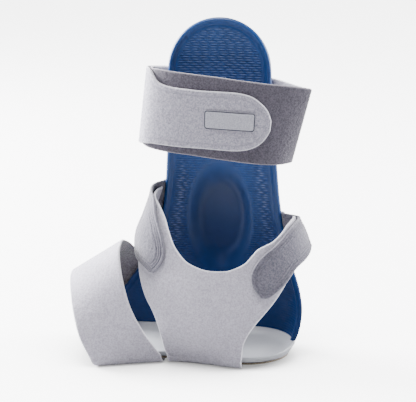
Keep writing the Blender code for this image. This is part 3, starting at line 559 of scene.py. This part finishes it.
def make_shell(materials):
    """Blade, hollow for the ankle bone, wall to the toes and wrap round the heel."""
    heights = np.linspace(SHELL_BOTTOM, CAP_HEIGHT, 190)
    rise = 0.0085
    front, rear = shell_edges(heights)
    above = shell_edges(np.minimum(heights + rise / 2, CAP_HEIGHT))[0]
    below = shell_edges(np.maximum(heights - rise / 2, SHELL_BOTTOM))[0]
    stretch = np.hypot(1.0, (above - below) / rise)
    middle = (front + rear) / 2
    angles = math.pi * (1 - np.arange(1, ARC_STEPS) / ARC_STEPS)
    radius = BLADE_WIDTH / 2
    edge_along = around_end(front, radius * np.cos(angles), rear)
    edge_height = around_end(heights, CAP_HEIGHT + radius * np.sin(angles), heights)
    spine_along = around_end(middle, 0.0, middle)
    spine_height = around_end(heights, CAP_HEIGHT, heights)
    stretch = around_end(stretch, 1.0, 0 * rear + 1)
    near = np.array((0.0, 0.05, 0.18, 0.4, 0.7, 1.05, 1.45, 1.9, 2.35, 2.8, 3.25, 3.7, 4.15,
                     4.6, 5.0, 5.4, 5.8, 6.3, 7.0)) * 0.001
    reach = np.hypot(spine_along - edge_along, spine_height - edge_height)
    field = np.linspace(0.0, 1.0, 30)[1:]
    rim_reach = near[-1] * stretch
    distance = np.concatenate((near * stretch[:, None],
                               rim_reach[:, None] + (reach - rim_reach)[:, None] * field), 1)
    share = distance / reach[:, None]
    along = edge_along[:, None] + (spine_along - edge_along)[:, None] * share
    height = edge_height[:, None] + (spine_height - edge_height)[:, None] * share
    true = distance / stretch[:, None]
    centre = 0.38 * WALL
    hump = smooth((RIM_WIDTH - true) / (0.55 * RIM_WIDTH))
    groove = ridge(true, 1.06 * RIM_WIDTH, 0.0005)
    around = hollow_reach(along, height)
    push = HOLLOW_DEPTH * smooth((1.05 - around) / 0.52)
    inner = -RIM_RISE * hump + 0.00025 * groove
    inner = centre + (inner - centre) * rounding(true, 0.0019)
    outer = centre + (WALL - centre) * rounding(true, 0.0017)
    inside = shell_place(along, height, inner + push)
    outside = shell_place(along, height, outer + push)
    # The ripple field sets the ripples' relief and how strongly their painted crest highlights and
    # gap shade show; comb raises it near the blade's edges low down.
    ripple = smooth((true - 1.2 * RIM_WIDTH) / 0.002) * smooth((around - 0.93) / 0.16)
    ripple *= 0.2 + 0.8 * smooth((height - 0.055) / 0.02)
    comb = ridge(true, 0.0125, 0.0045) * smooth((0.150 - height) / 0.030)
    ripple *= 0.72 + 0.48 * comb
    # The hollow field sets where the shell's colour gets painted shade in the ankle hollow.
    hollow = smooth((1.0 - around) / 0.5)
    # Painted highlight: a lighter streak down the hollow's right wall, where a lamp would reflect.
    hollow_painted_highlight = ridge(around, 0.66, 0.05) * smooth(along / 0.012)
    fields = {"ripple": ripple, "hollow": hollow, "hollow_painted_highlight": hollow_painted_highlight}
    return rounded_sheet("shell_body", outside, inside, materials, fields)


def sole_edge(place):
    """Outline of the footbed's rim at places along the foot: inner and outer side."""
    share = np.clip(place / np.where(place < 0, TOE_REACH, HEEL_CENTRE), SOLE[0][0], SOLE[-1][0])
    inner = -FOOT_WIDTH * read(SOLE, share, 1)
    inner += (HEEL_SIDE - OUTER_RADIUS - inner) * smooth(place / HEEL_CENTRE)
    return inner, (FOOT_SIDE + WALL) * read(SOLE, share, 2)


def sole_rays():
    """Rim points of the sole and the spine points that they face, from the toes along the
    inner side, round the heel and back."""
    keys = pass_through(np.array(SOLE)[:, :1], np.linspace(0, len(SOLE) - 1, 90))[:, 0]
    places = np.where(keys < 0, TOE_REACH * keys, HEEL_CENTRE * keys)
    inner, outer = sole_edge(places)
    share = smooth((places + TOE_REACH) / TOE_REACH)
    spine_y = (inner + outer) / 2 * (1 - share) + HEEL_SIDE * share
    angles = math.pi * (np.arange(1, ARC_STEPS) / ARC_STEPS - 0.5)
    heel_x = HEEL_CENTRE + OUTER_RADIUS * np.cos(angles)
    heel_y = HEEL_SIDE + OUTER_RADIUS * np.sin(angles)
    rim = np.stack((around_end(places, heel_x, places), around_end(inner, heel_y, outer)), -1)
    spine = np.stack((around_end(places, HEEL_CENTRE, places),
                      around_end(spine_y, HEEL_SIDE, spine_y)), -1)
    heel_share = (np.arange(len(rim)) - len(places) + 1) / ARC_STEPS
    deeper = smooth(np.minimum(heel_share, 1 - heel_share) / 0.28)
    under = UNDERCUT + (HEEL_UNDERCUT - UNDERCUT) * deeper
    return rim, spine, heel_share, under[:, None]


def ray_sheet(rim, spine, distances, heights):
    """Points of rays at distances in from the rim, at heights."""
    reach = np.linalg.norm(spine - rim, axis=1)[:, None]
    share = np.minimum(1.0, distances / reach)
    flat = rim[:, None] + (spine - rim)[:, None] * share[..., None]
    return np.concatenate((flat, (heights + 0 * share)[..., None]), -1)


def make_footbed(materials):
    """Cup under the heel and midfoot, with its lip closed round the toe end."""
    rim, spine, heel_share, under = sole_rays()
    height = LIP_TOP + (RIM_TOP - LIP_TOP) * smooth((heel_share - 0.12) / 0.33)
    wall = (WALL + CLEARANCE) * 1000
    cove = 3 * WALL * 1000
    fine = np.linspace(0.0, 12.0, 61)
    # distance in, in mm, then height: share of the rise from the floor, for the top and
    # then for the bottom
    top = pass_through(((0.25, 0.80), (0.30, 0.93), (0.60, 1.00), (wall / 2, 1.00),
                        (wall - 0.3, 0.98), (wall + 0.1, 0.90), (wall + 0.2 * cove, 0.42),
                        (wall + 0.5 * cove, 0.10), (wall + cove, 0.0), (20.0, 0.0),
                        (30.0, 0.0), (60.0, 0.0), (99.0, 0.0)), fine)
    foot = UNDERCUT * 1000
    low = pass_through(((0.05, 0.85), (0.14 * foot, 0.70), (0.30 * foot, 0.50),
                        (0.45 * foot, 0.30), (0.60 * foot, 0.14), (0.80 * foot, 0.04),
                        (1.05 * foot, 0.0), (20.0, 0.0), (30.0, 0.0), (40.0, 0.0),
                        (50.0, 0.0), (60.0, 0.0), (99.0, 0.0)), fine)
    depth, inset = top[:, 0] * 0.001, low[:, 0] * 0.001
    share = np.clip((0.020 - inset) / (0.020 - 1.05 * UNDERCUT), 0.0, 1.0)
    inset = inset + np.minimum(inset, 1.05 * UNDERCUT) * (under / UNDERCUT - 1) * share
    rise, drop = height - BED_FLOOR, height - BED_BOTTOM
    low_heights = BED_BOTTOM + drop[:, None] * low[:, 1]
    upper = ray_sheet(rim, spine, depth, BED_FLOOR)
    tip = (upper[..., 0] + TOE_REACH) * 1000
    lip = np.maximum(top[:, 1], np.interp(tip, top[:, 0], top[:, 1]))
    lip = np.minimum(lip, np.interp(tip, (0.0, 0.3, 0.6), (0.80, 0.93, 1.0)))
    reach = np.linalg.norm(spine - rim, axis=1)[:, None]
    inward = smooth(2 * np.minimum(1.0, depth / reach) - 1)
    upper[..., 2] += (rise[:, None] + (LIP_TOP - BED_FLOOR - rise[:, None]) * inward) * lip
    lower = ray_sheet(rim, spine, inset, low_heights)
    cup = rounded_sheet("footbed_cup", upper, lower, materials)
    cup.data.set_sharp_from_angle(angle=math.radians(50.0))
    return cup


def make_sole_pad(materials):
    """Thin layer under the footbed."""
    rim, spine, _, under = sole_rays()
    stations = np.array((0.0, 0.0002, 0.0008, 0.004, 0.1)) + 0.8 * under
    drop = np.array((0.25, 0.06, 0.0, 0.0, 0.0)) * PAD
    upper = ray_sheet(rim, spine, stations, PAD_BOTTOM + PAD - drop)
    lower = ray_sheet(rim, spine, stations, PAD_BOTTOM + drop)
    return rounded_sheet("sole_layer", upper, lower, materials)


def leg_place(turn, height, out):
    """Points on the leg space, by turn round the leg, height and distance out."""
    share = height / HEIGHT
    centre = LEG_LENGTH * read(LEG, share, 1)
    length = LEG_LENGTH * read(LEG, share, 2) + out
    side = LEG_WIDTH * read(LEG, share, 3)
    width = LEG_WIDTH * read(LEG, share, 4) + out
    across, facing = np.sin(np.radians(turn)), np.cos(np.radians(turn))
    power = 2 / LEG_SQUARE
    x = centre + length * np.copysign(np.abs(across) ** power, across)
    y = side - width * np.copysign(np.abs(facing) ** power, facing)
    low_share = (1 - smooth((height - ARM_BEND) / (3.5 * ARM_BEND))) * (facing > 0)
    y += (sole_edge(x)[0] - 3 * CLEARANCE - out - y) * low_share
    return np.stack((x, y, height + 0 * x), -1)


def between(rows, places, shares):
    """Turns and heights between the upper and lower edges of a table's rows."""
    lines = pass_through(rows, places)[:, None]
    turn = lines[..., 0] + (lines[..., 2] - lines[..., 0]) * shares
    height = lines[..., 1] + (lines[..., 3] - lines[..., 1]) * shares
    return turn, height * HEIGHT


def make_sling(materials):
    """Sling under the sole and up the inner side, with its two arms."""
    middle = tuple((row[0], row[1], row[2], ARM_BEND / HEIGHT) for row in SLING_MIDDLE)
    stations = SLING_FRONT + middle + SLING_REAR
    first, last = len(SLING_FRONT), len(SLING_FRONT) + len(SLING_MIDDLE) - 1
    end = len(stations) - 1
    close = NEAR_EDGE[1:] / 0.008
    places = np.concatenate((np.linspace(0, end, end * 8 + 1), first + close, last - close,
                             close, end - close))
    places = np.unique(places.round(6))
    shares = spread(0.050, 0.0008)
    turn, height = between(stations, places, shares)
    grid = leg_place(turn, height, FELT)
    on_tail = (places >= first) & (places <= last)
    edge = grid[on_tail, -1]
    angles = np.linspace(0, math.pi / 2, 12)[1:]
    stop = FOOT_SIDE + WALL - UNDERCUT
    flat_shares = spread(0.065, 0.0015)[len(NEAR_EDGE):]
    bend_y = edge[:, 1:2] + ARM_BEND * (1 - np.cos(angles))
    under_y = bend_y[:, -1:] + (stop - bend_y[:, -1:]) * flat_shares
    tail_y = np.concatenate((bend_y, under_y), 1)
    tail_z = np.concatenate((ARM_BEND * (1 - np.sin(angles)), 0 * flat_shares)) + 0 * tail_y
    tail = np.stack((edge[:, :1] + 0 * tail_y, tail_y, tail_z), -1)
    numbers = grid_numbers(*grid.shape[:2])
    tail_numbers = grid_numbers(*tail.shape[:2], grid.shape[0] * grid.shape[1])
    tail_numbers = np.column_stack((numbers[on_tail, -1], tail_numbers))
    points = np.vstack((grid.reshape(-1, 3), tail.reshape(-1, 3)))
    quads = np.vstack((quads_of(numbers), quads_of(tail_numbers)))
    return felt("sling_felt", points, quads, FELT, materials, flip=True, seed=1)


def make_tab(name, table, sign, materials):
    """Closure tab: its root on the shell's outer face and its leaf over the arm."""
    shares = spread(0.036, 0.0006)
    table = np.array(table)
    root_height = (table[0, 1] + (table[0, 3] - table[0, 1]) * shares) * HEIGHT
    front, rear = shell_edges(root_height)
    edge = front if sign < 0 else rear
    clear = CLEARANCE + LEAF
    root = ((-ROOT_LENGTH, WALL + clear), (-0.45 * ROOT_LENGTH, WALL + clear),
            (0.4 * LEAF, WALL + clear), (clear + CLEARANCE, 0.5 * WALL))
    lines = [shell_place(edge + sign * past, root_height, out) for past, out in root]
    for upper_turn, upper_height, lower_turn, lower_height, out in table:
        turn = upper_turn + (lower_turn - upper_turn) * shares
        height = (upper_height + (lower_height - upper_height) * shares) * HEIGHT
        lines.append(leg_place(turn, height, FELT + 2 * CLEARANCE + LEAF * (1 + out)))
    end = len(lines) - 1
    places = spread(0.085, 0.0006) * end
    return felt_grid(name, pass_through(lines, places), LEAF, materials, flip=sign < 0,
                     lines=TAB_LINES, seed=2 + sign)


def forefoot_edge(side, share, tall, column):
    """Points on one edge of the forefoot loop."""
    along = -FOREFOOT_LENGTH * read(FOREFOOT_EDGES, share, column)
    return np.stack((along, side * FOREFOOT_SIDE, share * tall), -1)


def forefoot_loop(column):
    """One edge of the forefoot loop, closed: over the instep, round the outer bend, under
    the sole and round the inner bend."""
    rear = column == 1
    tall = FOREFOOT_HEIGHT if rear else FOREFOOT_FRONT
    bend_share = BAND_BEND / tall
    table = np.array(FOREFOOT)[:, :2] if rear else np.array(FOREFOOT)[:, 2:]
    low_inner, low_outer = (row[column - 1] for row in FOREFOOT_FOOT)
    sides = np.concatenate(((low_inner,), table[:, 0], (low_outer,)))
    shares = np.concatenate(((bend_share,), table[:, 1], (bend_share,)))
    control = forefoot_edge(sides, shares, tall, column)
    upper = pass_through(control, np.linspace(0, len(control) - 1, 121))
    under = -FOREFOOT_LENGTH * FOREFOOT_EDGES[0][column]
    step = np.linspace(0, 1, 13)[1:]
    turn = step * math.pi / 2
    bends = []
    for point, side in ((control[-1], -1), (control[0], 1)):
        bends.append(np.stack((point[0] + (under - point[0]) * step,
                               point[1] + side * BAND_BEND * (1 - np.cos(turn)),
                               BAND_BEND * (1 - np.sin(turn))), -1))
    outer_bend, inner_bend = bends[0], bends[1][::-1]
    flat = np.linspace(0, 1, 32)[1:-1, None]
    sole = outer_bend[-1] + (inner_bend[0] - outer_bend[-1]) * flat
    return np.vstack((upper, outer_bend, sole, inner_bend))


def make_forefoot_band(materials):
    """Loop under the sole and over the instep."""
    shares = spread(0.055, 0.0011)[:, None]
    rear, front = forefoot_loop(1)[:, None], forefoot_loop(2)[:, None]
    grid = rear + (front - rear) * shares
    return felt_grid("forefoot_felt", grid, FELT, materials, closed=True, seed=4)


def calf_place(along, up, out):
    """Points over the calf band's outer face, by rows of its table and share of width."""
    table = np.array(CALF)
    y = CALF_FAR - CALF_DEPTH * table[:, 2]
    middle = CALF_HEIGHT + CALF_WIDTH * table[:, 3]
    half = CALF_WIDTH * table[:, 4] / 2
    upper = np.stack((CALF_LOOP * table[:, 0], y, middle + half), -1)
    lower = np.stack((CALF_LOOP * table[:, 1], y, middle - half), -1)
    up = np.asarray(up)[..., None]
    low, high, travel = 0, 0, 0
    for shift in (-0.05, 0.05, 0.0):
        low = pass_through(lower, along + shift, closed=True)
        high = pass_through(upper, along + shift, closed=True)
        travel = travel + np.sign(shift) * (low + (high - low) * up)
    normal = np.cross(travel, high - low)
    normal /= np.linalg.norm(normal, axis=-1, keepdims=True)
    return low + (high - low) * up + normal * out


def make_calf_band(materials):
    """Loop round the blade."""
    along = np.arange(0, len(CALF), 0.125)[:, None]
    up = spread(CALF_WIDTH, 0.0011)[None]
    grid = calf_place(along + 0 * up, up + 0 * along, 0.0)
    return felt_grid("calf_band_felt", grid, FELT, materials, closed=True, seed=5)


def make_calf_flap(materials):
    """Flap round the left fold and over the near side of the calf band."""
    first, last = FLAP[0][0], FLAP[-1][0]
    along = (first + (last - first) * spread(0.115, 0.0009))[:, None]
    low, high = read(FLAP, along, 1), read(FLAP, along, 2)
    shares = spread(0.048, 0.0009)[None]
    grid = calf_place(along + 0 * shares, low + (high - low) * shares, CLEARANCE + FELT)
    return felt_grid("calf_flap_felt", grid, FELT, materials, lines=FLAP_LINES, seed=6)


def make_label(materials):
    """Blank patch on the flap."""
    base = 2 * CLEARANCE + FELT + LABEL_THICKNESS
    ends = calf_place(np.array((LABEL_ALONG - 0.5, LABEL_ALONG + 0.5)), LABEL_UP, base)
    half_rows = LABEL_LENGTH / np.linalg.norm(ends[1] - ends[0]) / 2
    half_up = LABEL_WIDTH / CALF_WIDTH / 2
    corner = 0.0022
    lengths = spread(LABEL_LENGTH, 0.0005) * 2 - 1
    into = np.clip((np.abs(lengths) * LABEL_LENGTH / 2 - LABEL_LENGTH / 2 + corner) / corner, 0, 1)
    squeeze = 1 - corner / (LABEL_WIDTH / 2) * (1 - np.sqrt(1 - into ** 2))
    shares = (spread(LABEL_WIDTH, 0.0005) * 2 - 1)[None]
    middle = LABEL_UP + lengths * LABEL_TILT / CALF_WIDTH
    grid = calf_place(LABEL_ALONG + (lengths * half_rows)[:, None] + 0 * shares,
                      middle[:, None] + half_up * squeeze[:, None] * shares, base)
    return felt_grid("label_patch", grid, LABEL_THICKNESS, materials, lines=LABEL_LINES,
                     seed=7)


class Shader:
    """A Principled material and the nodes that feed it."""

    def __init__(self, name, roughness, **settings):
        self.material = bpy.data.materials.new(name)
        self.material.use_nodes = True
        self.nodes = self.material.node_tree.nodes
        self.links = self.material.node_tree.links
        self.surface = self.nodes["Principled BSDF"]
        self.surface.inputs["Roughness"].default_value = roughness
        for socket, value in settings.items():
            self.surface.inputs[socket.replace("_", " ")].default_value = value
        self.place = self.node("ShaderNodeTexCoord").outputs["Object"]

    def node(self, kind, **settings):
        """New node with its settings."""
        node = self.nodes.new(kind)
        for key, value in settings.items():
            setattr(node, key, value)
        return node

    def feed(self, socket, value):
        """Link or set an input."""
        if hasattr(value, "is_output"):
            self.links.new(value, socket)
        else:
            socket.default_value = value

    def math(self, operation, first, second=0.0):
        """One step of arithmetic."""
        node = self.node("ShaderNodeMath", operation=operation)
        self.feed(node.inputs[0], first)
        self.feed(node.inputs[1], second)
        return node.outputs[0]

    def noise(self, scale, detail=2.0, rough=0.5, stretch=None):
        """Noise in the object's own metres, from 0 to 1."""
        place = self.place
        if stretch:
            mapping = self.node("ShaderNodeMapping")
            self.feed(mapping.inputs["Vector"], place)
            mapping.inputs["Scale"].default_value = stretch
            place = mapping.outputs[0]
        node = self.node("ShaderNodeTexNoise")
        self.feed(node.inputs["Vector"], place)
        for socket, value in (("Scale", scale), ("Detail", detail), ("Roughness", rough)):
            node.inputs[socket].default_value = value
        return node.outputs[0]

    def field(self, name):
        """Named value of the mesh."""
        return self.node("ShaderNodeAttribute", attribute_name=name).outputs["Fac"]

    def span(self, value, low, high, to_low=0.0, to_high=1.0):
        """Value moved from one range to another and held there."""
        node = self.node("ShaderNodeMapRange", interpolation_type="SMOOTHSTEP")
        for socket, number in zip(node.inputs, (value, low, high, to_low, to_high)):
            self.feed(socket, number)
        return node.outputs[0]

    def mix(self, share, low, high):
        """Colour between two colours."""
        node = self.node("ShaderNodeMix", data_type="RGBA")
        self.feed(node.inputs[0], share)
        for socket, value in ((6, low), (7, high)):
            self.feed(node.inputs[socket], value if hasattr(value, "is_output") else (*value, 1.0))
        return node.outputs[2]

    def colour(self, value):
        """Base colour."""
        self.feed(self.surface.inputs["Base Color"], value)

    def bump(self, height, distance, strength=1.0, below=None):
        """Relief of a height from 0 to 1 times a distance in metres."""
        node = self.node("ShaderNodeBump")
        node.inputs["Strength"].default_value = strength
        node.inputs["Distance"].default_value = distance
        self.feed(node.inputs["Height"], height)
        if below is not None:
            self.feed(node.inputs["Normal"], below)
        self.feed(self.surface.inputs["Normal"], node.outputs[0])
        return node.outputs[0]


def felt_material(name, dark, light, edge=None, line=None, nap=0.00022):
    """Napped felt: flecks of darker and lighter fibre; a paler cut edge, partly frayed fibre and
    partly a painted highlight; and a darker line of painted shade at a distance from it."""
    look = Shader(name, 0.95, Sheen_Weight=0.40, Sheen_Roughness=0.50, Specular_IOR_Level=0.15)
    flecks = look.noise(820.0, 2.0, 0.75)
    clumps = look.noise(330.0, 2.0, 0.6)
    share = look.math("ADD", look.span(flecks, 0.34, 0.66, 0.0, 0.78),
                      look.span(clumps, 0.34, 0.66, 0.0, 0.22))
    colour = look.mix(share, dark, light)
    # Painted shade: the felt darkens along a line at the given distance in from its edge.
    if line:
        off = look.math("ABSOLUTE", look.math("SUBTRACT", look.field("rim"), line))
        colour = look.mix(look.span(off, 0.0002, 0.0008, 0.45, 0.0), colour, dark)
    # Paler cut edge along every border: partly frayed fibre, partly a painted highlight.
    if edge:
        frayed_highlight_reach = look.math("ADD", look.field("rim"), look.math("MULTIPLY", flecks, -0.0010))
        near = look.span(frayed_highlight_reach, -0.0004, 0.0008, 1.0, 0.0)
        colour = look.mix(near, colour, edge)
    look.colour(colour)
    fibres = look.noise(1500.0, 3.0, 0.7)
    soft = look.bump(look.noise(520.0, 2.0, 0.6), nap * 2.4)
    look.bump(fibres, nap * 1.4, 0.9, below=soft)
    return look.material


def shell_material():
    """Moulded blue plastic with short staggered ripples where the mesh says so, painted shade low
    down, in the ankle hollow and between the ripples, and painted highlights on the ripple crests
    and on the hollow's wall.
    """
    look = Shader("moulded_blue", 0.40, Specular_IOR_Level=0.34)
    axes = look.node("ShaderNodeSeparateXYZ")
    look.feed(axes.inputs[0], look.place)
    across, up = axes.outputs["X"], axes.outputs["Z"]
    drift = look.math("MULTIPLY", look.noise(20.0, 1.0, 0.4), 0.0012)
    row_place = look.math("MULTIPLY", look.math("ADD", up, drift), 1 / RIPPLE_PITCH)
    row = look.math("FLOOR", row_place)
    random_row = look.node("ShaderNodeTexWhiteNoise", noise_dimensions="1D")
    look.feed(random_row.inputs["W"], row)
    along = look.math("MULTIPLY", across, 1 / RIPPLE_LENGTH)
    along = look.math("ADD", along, random_row.outputs["Value"])
    crest = look.math("SINE", look.math("MULTIPLY", look.math("FRACT", row_place), math.pi))
    crest = look.math("POWER", crest, 1.6)
    dash = look.math("SINE", look.math("MULTIPLY", look.math("FRACT", along), math.pi))
    dash = look.math("POWER", dash, 0.6)
    mask = look.field("ripple")
    relief = look.math("MULTIPLY", look.math("MULTIPLY", crest, dash), mask)
    smear = look.noise(26.0, 3.0, 0.6, stretch=(1.0, 1.0, 0.25))
    base = look.mix(look.span(smear, 0.3, 0.7), (0.004, 0.033, 0.135), (0.007, 0.046, 0.180))
    # Painted shade: the shell's blue darkens towards the floor, where it sits in shade inside the
    # straps.
    low = look.span(up, 0.040, 0.120, 0.90, 0.0)
    base = look.mix(low, base, (0.0012, 0.013, 0.062))
    look.feed(look.surface.inputs["Specular IOR Level"], look.span(up, 0.04, 0.11, 0.12, 0.34))
    # Painted shade in the ankle hollow, darkest at its middle.
    base = look.mix(look.math("MULTIPLY", look.field("hollow"), 0.70), base, (0.0025, 0.014, 0.064))
    # Painted highlight: the streak on the hollow's wall.
    base = look.mix(look.math("MULTIPLY", look.field("hollow_painted_highlight"), 0.5), base, (0.045, 0.065, 0.15))
    # Painted shade between the ripples.
    ripple_gap_shade = look.span(relief, 0.02, 0.30, 0.55, 0.0)
    base = look.mix(look.math("MULTIPLY", ripple_gap_shade, mask), base, (0.002, 0.016, 0.070))
    # Painted highlight on the ripple crests.
    ripple_crest_highlight = look.span(relief, 0.60, 1.20, 0.0, 0.60)
    look.colour(look.mix(ripple_crest_highlight, base, (0.13, 0.17, 0.36)))
    look.feed(look.surface.inputs["Roughness"], look.span(smear, 0.3, 0.7, 0.36, 0.46))
    fine = look.bump(look.noise(900.0, 2.0, 0.6), 0.00003, 0.6)
    look.bump(relief, RIPPLE_DEPTH, 1.0, below=fine)
    return look.material


def footbed_material():
    """Smooth light-grey moulded plastic."""
    look = Shader("moulded_grey", 0.42, Specular_IOR_Level=0.45)
    cloud = look.noise(45.0, 3.0, 0.6)
    look.colour(look.mix(look.span(cloud, 0.3, 0.7), (0.31, 0.320, 0.355), (0.36, 0.370, 0.402)))
    look.feed(look.surface.inputs["Roughness"], look.span(cloud, 0.3, 0.7, 0.36, 0.5))
    look.bump(look.noise(700.0, 3.0, 0.6), 0.00004, 0.5)
    return look.material


def plain_material(name, dark, light, roughness, scale, relief):
    """Matt finish with a slight grain."""
    look = Shader(name, roughness)
    grain = look.noise(scale, 3.0, 0.6)
    look.colour(look.mix(look.span(grain, 0.35, 0.65), dark, light))
    look.bump(grain, relief, 0.7)
    return look.material


def label_material():
    """Smooth woven patch with a dark line round its edge."""
    look = Shader("label_grey", 0.75, Specular_IOR_Level=0.2)
    grain = look.noise(1100.0, 2.0, 0.6)
    cloth = look.mix(look.span(grain, 0.35, 0.65), (0.28, 0.280, 0.33), (0.38, 0.380, 0.435))
    line = look.math("SUBTRACT", look.field("rim"), 0.0006)
    line = look.span(look.math("ABSOLUTE", line), 0.0003, 0.0005, 1.0, 0.0)
    look.colour(look.mix(line, cloth, (0.045, 0.045, 0.06)))
    look.bump(grain, 0.00012, 0.8)
    return look.material


def floor_material():
    """Pale studio paper that glows evenly, with a painted contact shadow where its glow fades close
    to the brace.
    """
    look = Shader("studio_paper", 0.9, Specular_IOR_Level=0.1,
                  Emission_Color=(1.0, 1.0, 1.0, 1.0))
    # Painted contact shadow: the floor's glow fades where ambient occlusion finds the brace close
    # by.
    corner = look.node("ShaderNodeAmbientOcclusion", samples=8)
    corner.inputs["Distance"].default_value = 0.09
    glow_with_painted_shadow = look.span(corner.outputs["AO"], 0.30, 1.0, 0.4, 5.3)
    look.feed(look.surface.inputs["Emission Strength"], glow_with_painted_shadow)
    paper = look.noise(3.0, 2.0, 0.5)
    look.colour(look.mix(paper, (0.50, 0.50, 0.505), (0.54, 0.54, 0.545)))
    return look.material


def place_piece(piece, slot, *nodes):
    """The piece stands for the nodes and moves with the brace."""
    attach(piece, "root")
    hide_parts(*nodes)
    return piece


def aim(item, place, direction):
    """Put a lamp or camera at the place, facing along the direction."""
    item.location = place
    item.rotation_euler = direction.to_track_quat("-Z", "Y").to_euler()


def soft_light(name, place, size, power, colour):
    """Square soft box that points at the middle of the brace."""
    data = bpy.data.lights.new(name, "AREA")
    data.shape = "SQUARE"
    data.size = size
    data.energy = power
    data.color = colour
    aim(add_object(name, data), place, Vector((0.0, 0.0, 0.12)) - Vector(place))


def make_surroundings():
    """White studio, brightest behind the brace and above, dim on the camera's side."""
    world = bpy.data.worlds.new("studio")
    bpy.context.scene.world = world
    world.use_nodes = True
    nodes, links = world.node_tree.nodes, world.node_tree.links
    place = nodes.new("ShaderNodeTexCoord")
    axes = nodes.new("ShaderNodeSeparateXYZ")
    links.new(place.outputs["Generated"], axes.inputs[0])
    level = nodes.new("ShaderNodeMapRange")
    level.interpolation_type = "SMOOTHSTEP"
    links.new(axes.outputs["Y"], level.inputs["Value"])
    for socket, number in (("From Min", -0.55), ("From Max", 0.65), ("To Min", 0.09),
                           ("To Max", 1.1)):
        level.inputs[socket].default_value = number
    links.new(level.outputs[0], nodes["Background"].inputs["Strength"])
    nodes["Background"].inputs["Color"].default_value = (0.985, 0.99, 1.0, 1.0)


def make_stage():
    """Floor, lights, surroundings and camera."""
    mesh = bpy.data.meshes.new("floor")
    reach = 6.0
    mesh.from_pydata([(-reach, -reach, 0), (reach, -reach, 0), (reach, reach, 0),
                      (-reach, reach, 0)], [], [(0, 1, 2, 3)])
    mesh.materials.append(floor_material())
    floor = add_object("floor", mesh)
    unlit = bpy.data.collections.new("floor_glow")
    unlit.objects.link(floor)
    floor.light_linking.receiver_collection = unlit
    make_surroundings()
    for light in LIGHTS:
        soft_light(*light)
    turn, lift, far = math.radians(8.0), math.radians(12.5), 1.1
    back = Vector((math.sin(turn) * math.cos(lift), -math.cos(turn) * math.cos(lift),
                   math.sin(lift)))
    data = bpy.data.cameras.new("camera")
    data.lens = 132.4
    data.sensor_width = 36.0
    data.shift_x = -0.01466
    data.shift_y = -0.0281
    camera = add_object("camera", data)
    aim(camera, Vector((0.0, 0.0, 0.125)) + back * far, -back)
    bpy.context.scene.camera = camera


def main():
    """Make the pieces and the stage."""
    make_stage()
    blue = shell_material()
    grey = footbed_material()
    tan = plain_material("sole_tan", (0.10, 0.08, 0.06), (0.17, 0.14, 0.10), 0.85, 900.0, 0.0001)
    light = felt_material("light_felt", (0.300, 0.286, 0.347), (0.460, 0.442, 0.520),
                          (0.64, 0.63, 0.685))
    # Darker copy of the light felt for the flap, standing in for the shade on it: painted shade.
    soft = felt_material("flap_felt_painted_shade", (0.20, 0.191, 0.240), (0.39, 0.378, 0.448), (0.56, 0.55, 0.61),
                         FLAP_WELD)
    dark = felt_material("dark_felt", (0.050, 0.045, 0.062), (0.096, 0.087, 0.113),
                         (0.18, 0.166, 0.20))
    lining = felt_material("dark_lining", (0.05, 0.045, 0.055), (0.11, 0.10, 0.12))
    # Front tab's copy of the tab felt, made darker to offset the strong left lamp: painted shade.
    tab = felt_material("tab_felt", (0.068, 0.065, 0.088), (0.115, 0.110, 0.143),
                        (0.16, 0.155, 0.19), TAB_SHADE_LINE)
    # Rear tab's copy of the same felt, its colours set apart to match the light on that tab: painted
    # light.
    rear_tab_painted_light_copy = felt_material("tab_felt_rear_painted_light", (0.065, 0.062, 0.084), (0.140, 0.134, 0.172),
                            (0.19, 0.185, 0.225), TAB_SHADE_LINE)
    patch = label_material()
    place_piece(make_shell([blue]), "shell_plastic", "ankle_shell")
    place_piece(make_footbed([grey]), "footbed_plastic", "footbed")
    place_piece(make_sole_pad([tan]), "sole_pad", "sole_pad")
    sling = place_piece(make_sling([light]), "light_felt", "ankle_sling")
    front_tab = make_tab("front_tab_felt", FRONT_TAB, -1, [tab])
    place_piece(front_tab, "tab_felt", "front_tab")
    rear_tab = make_tab("rear_tab_felt", REAR_TAB, 1, [rear_tab_painted_light_copy])
    place_piece(rear_tab, "tab_felt", "rear_tab")
    forefoot = place_piece(make_forefoot_band([light, lining]), "light_felt", "forefoot_band")
    calf = place_piece(make_calf_band([dark, light]), "dark_felt", "calf_band")
    flap = place_piece(make_calf_flap([soft]), "light_felt", "calf_flap")
    place_piece(make_label([patch]), "label_patch", "label")


main()
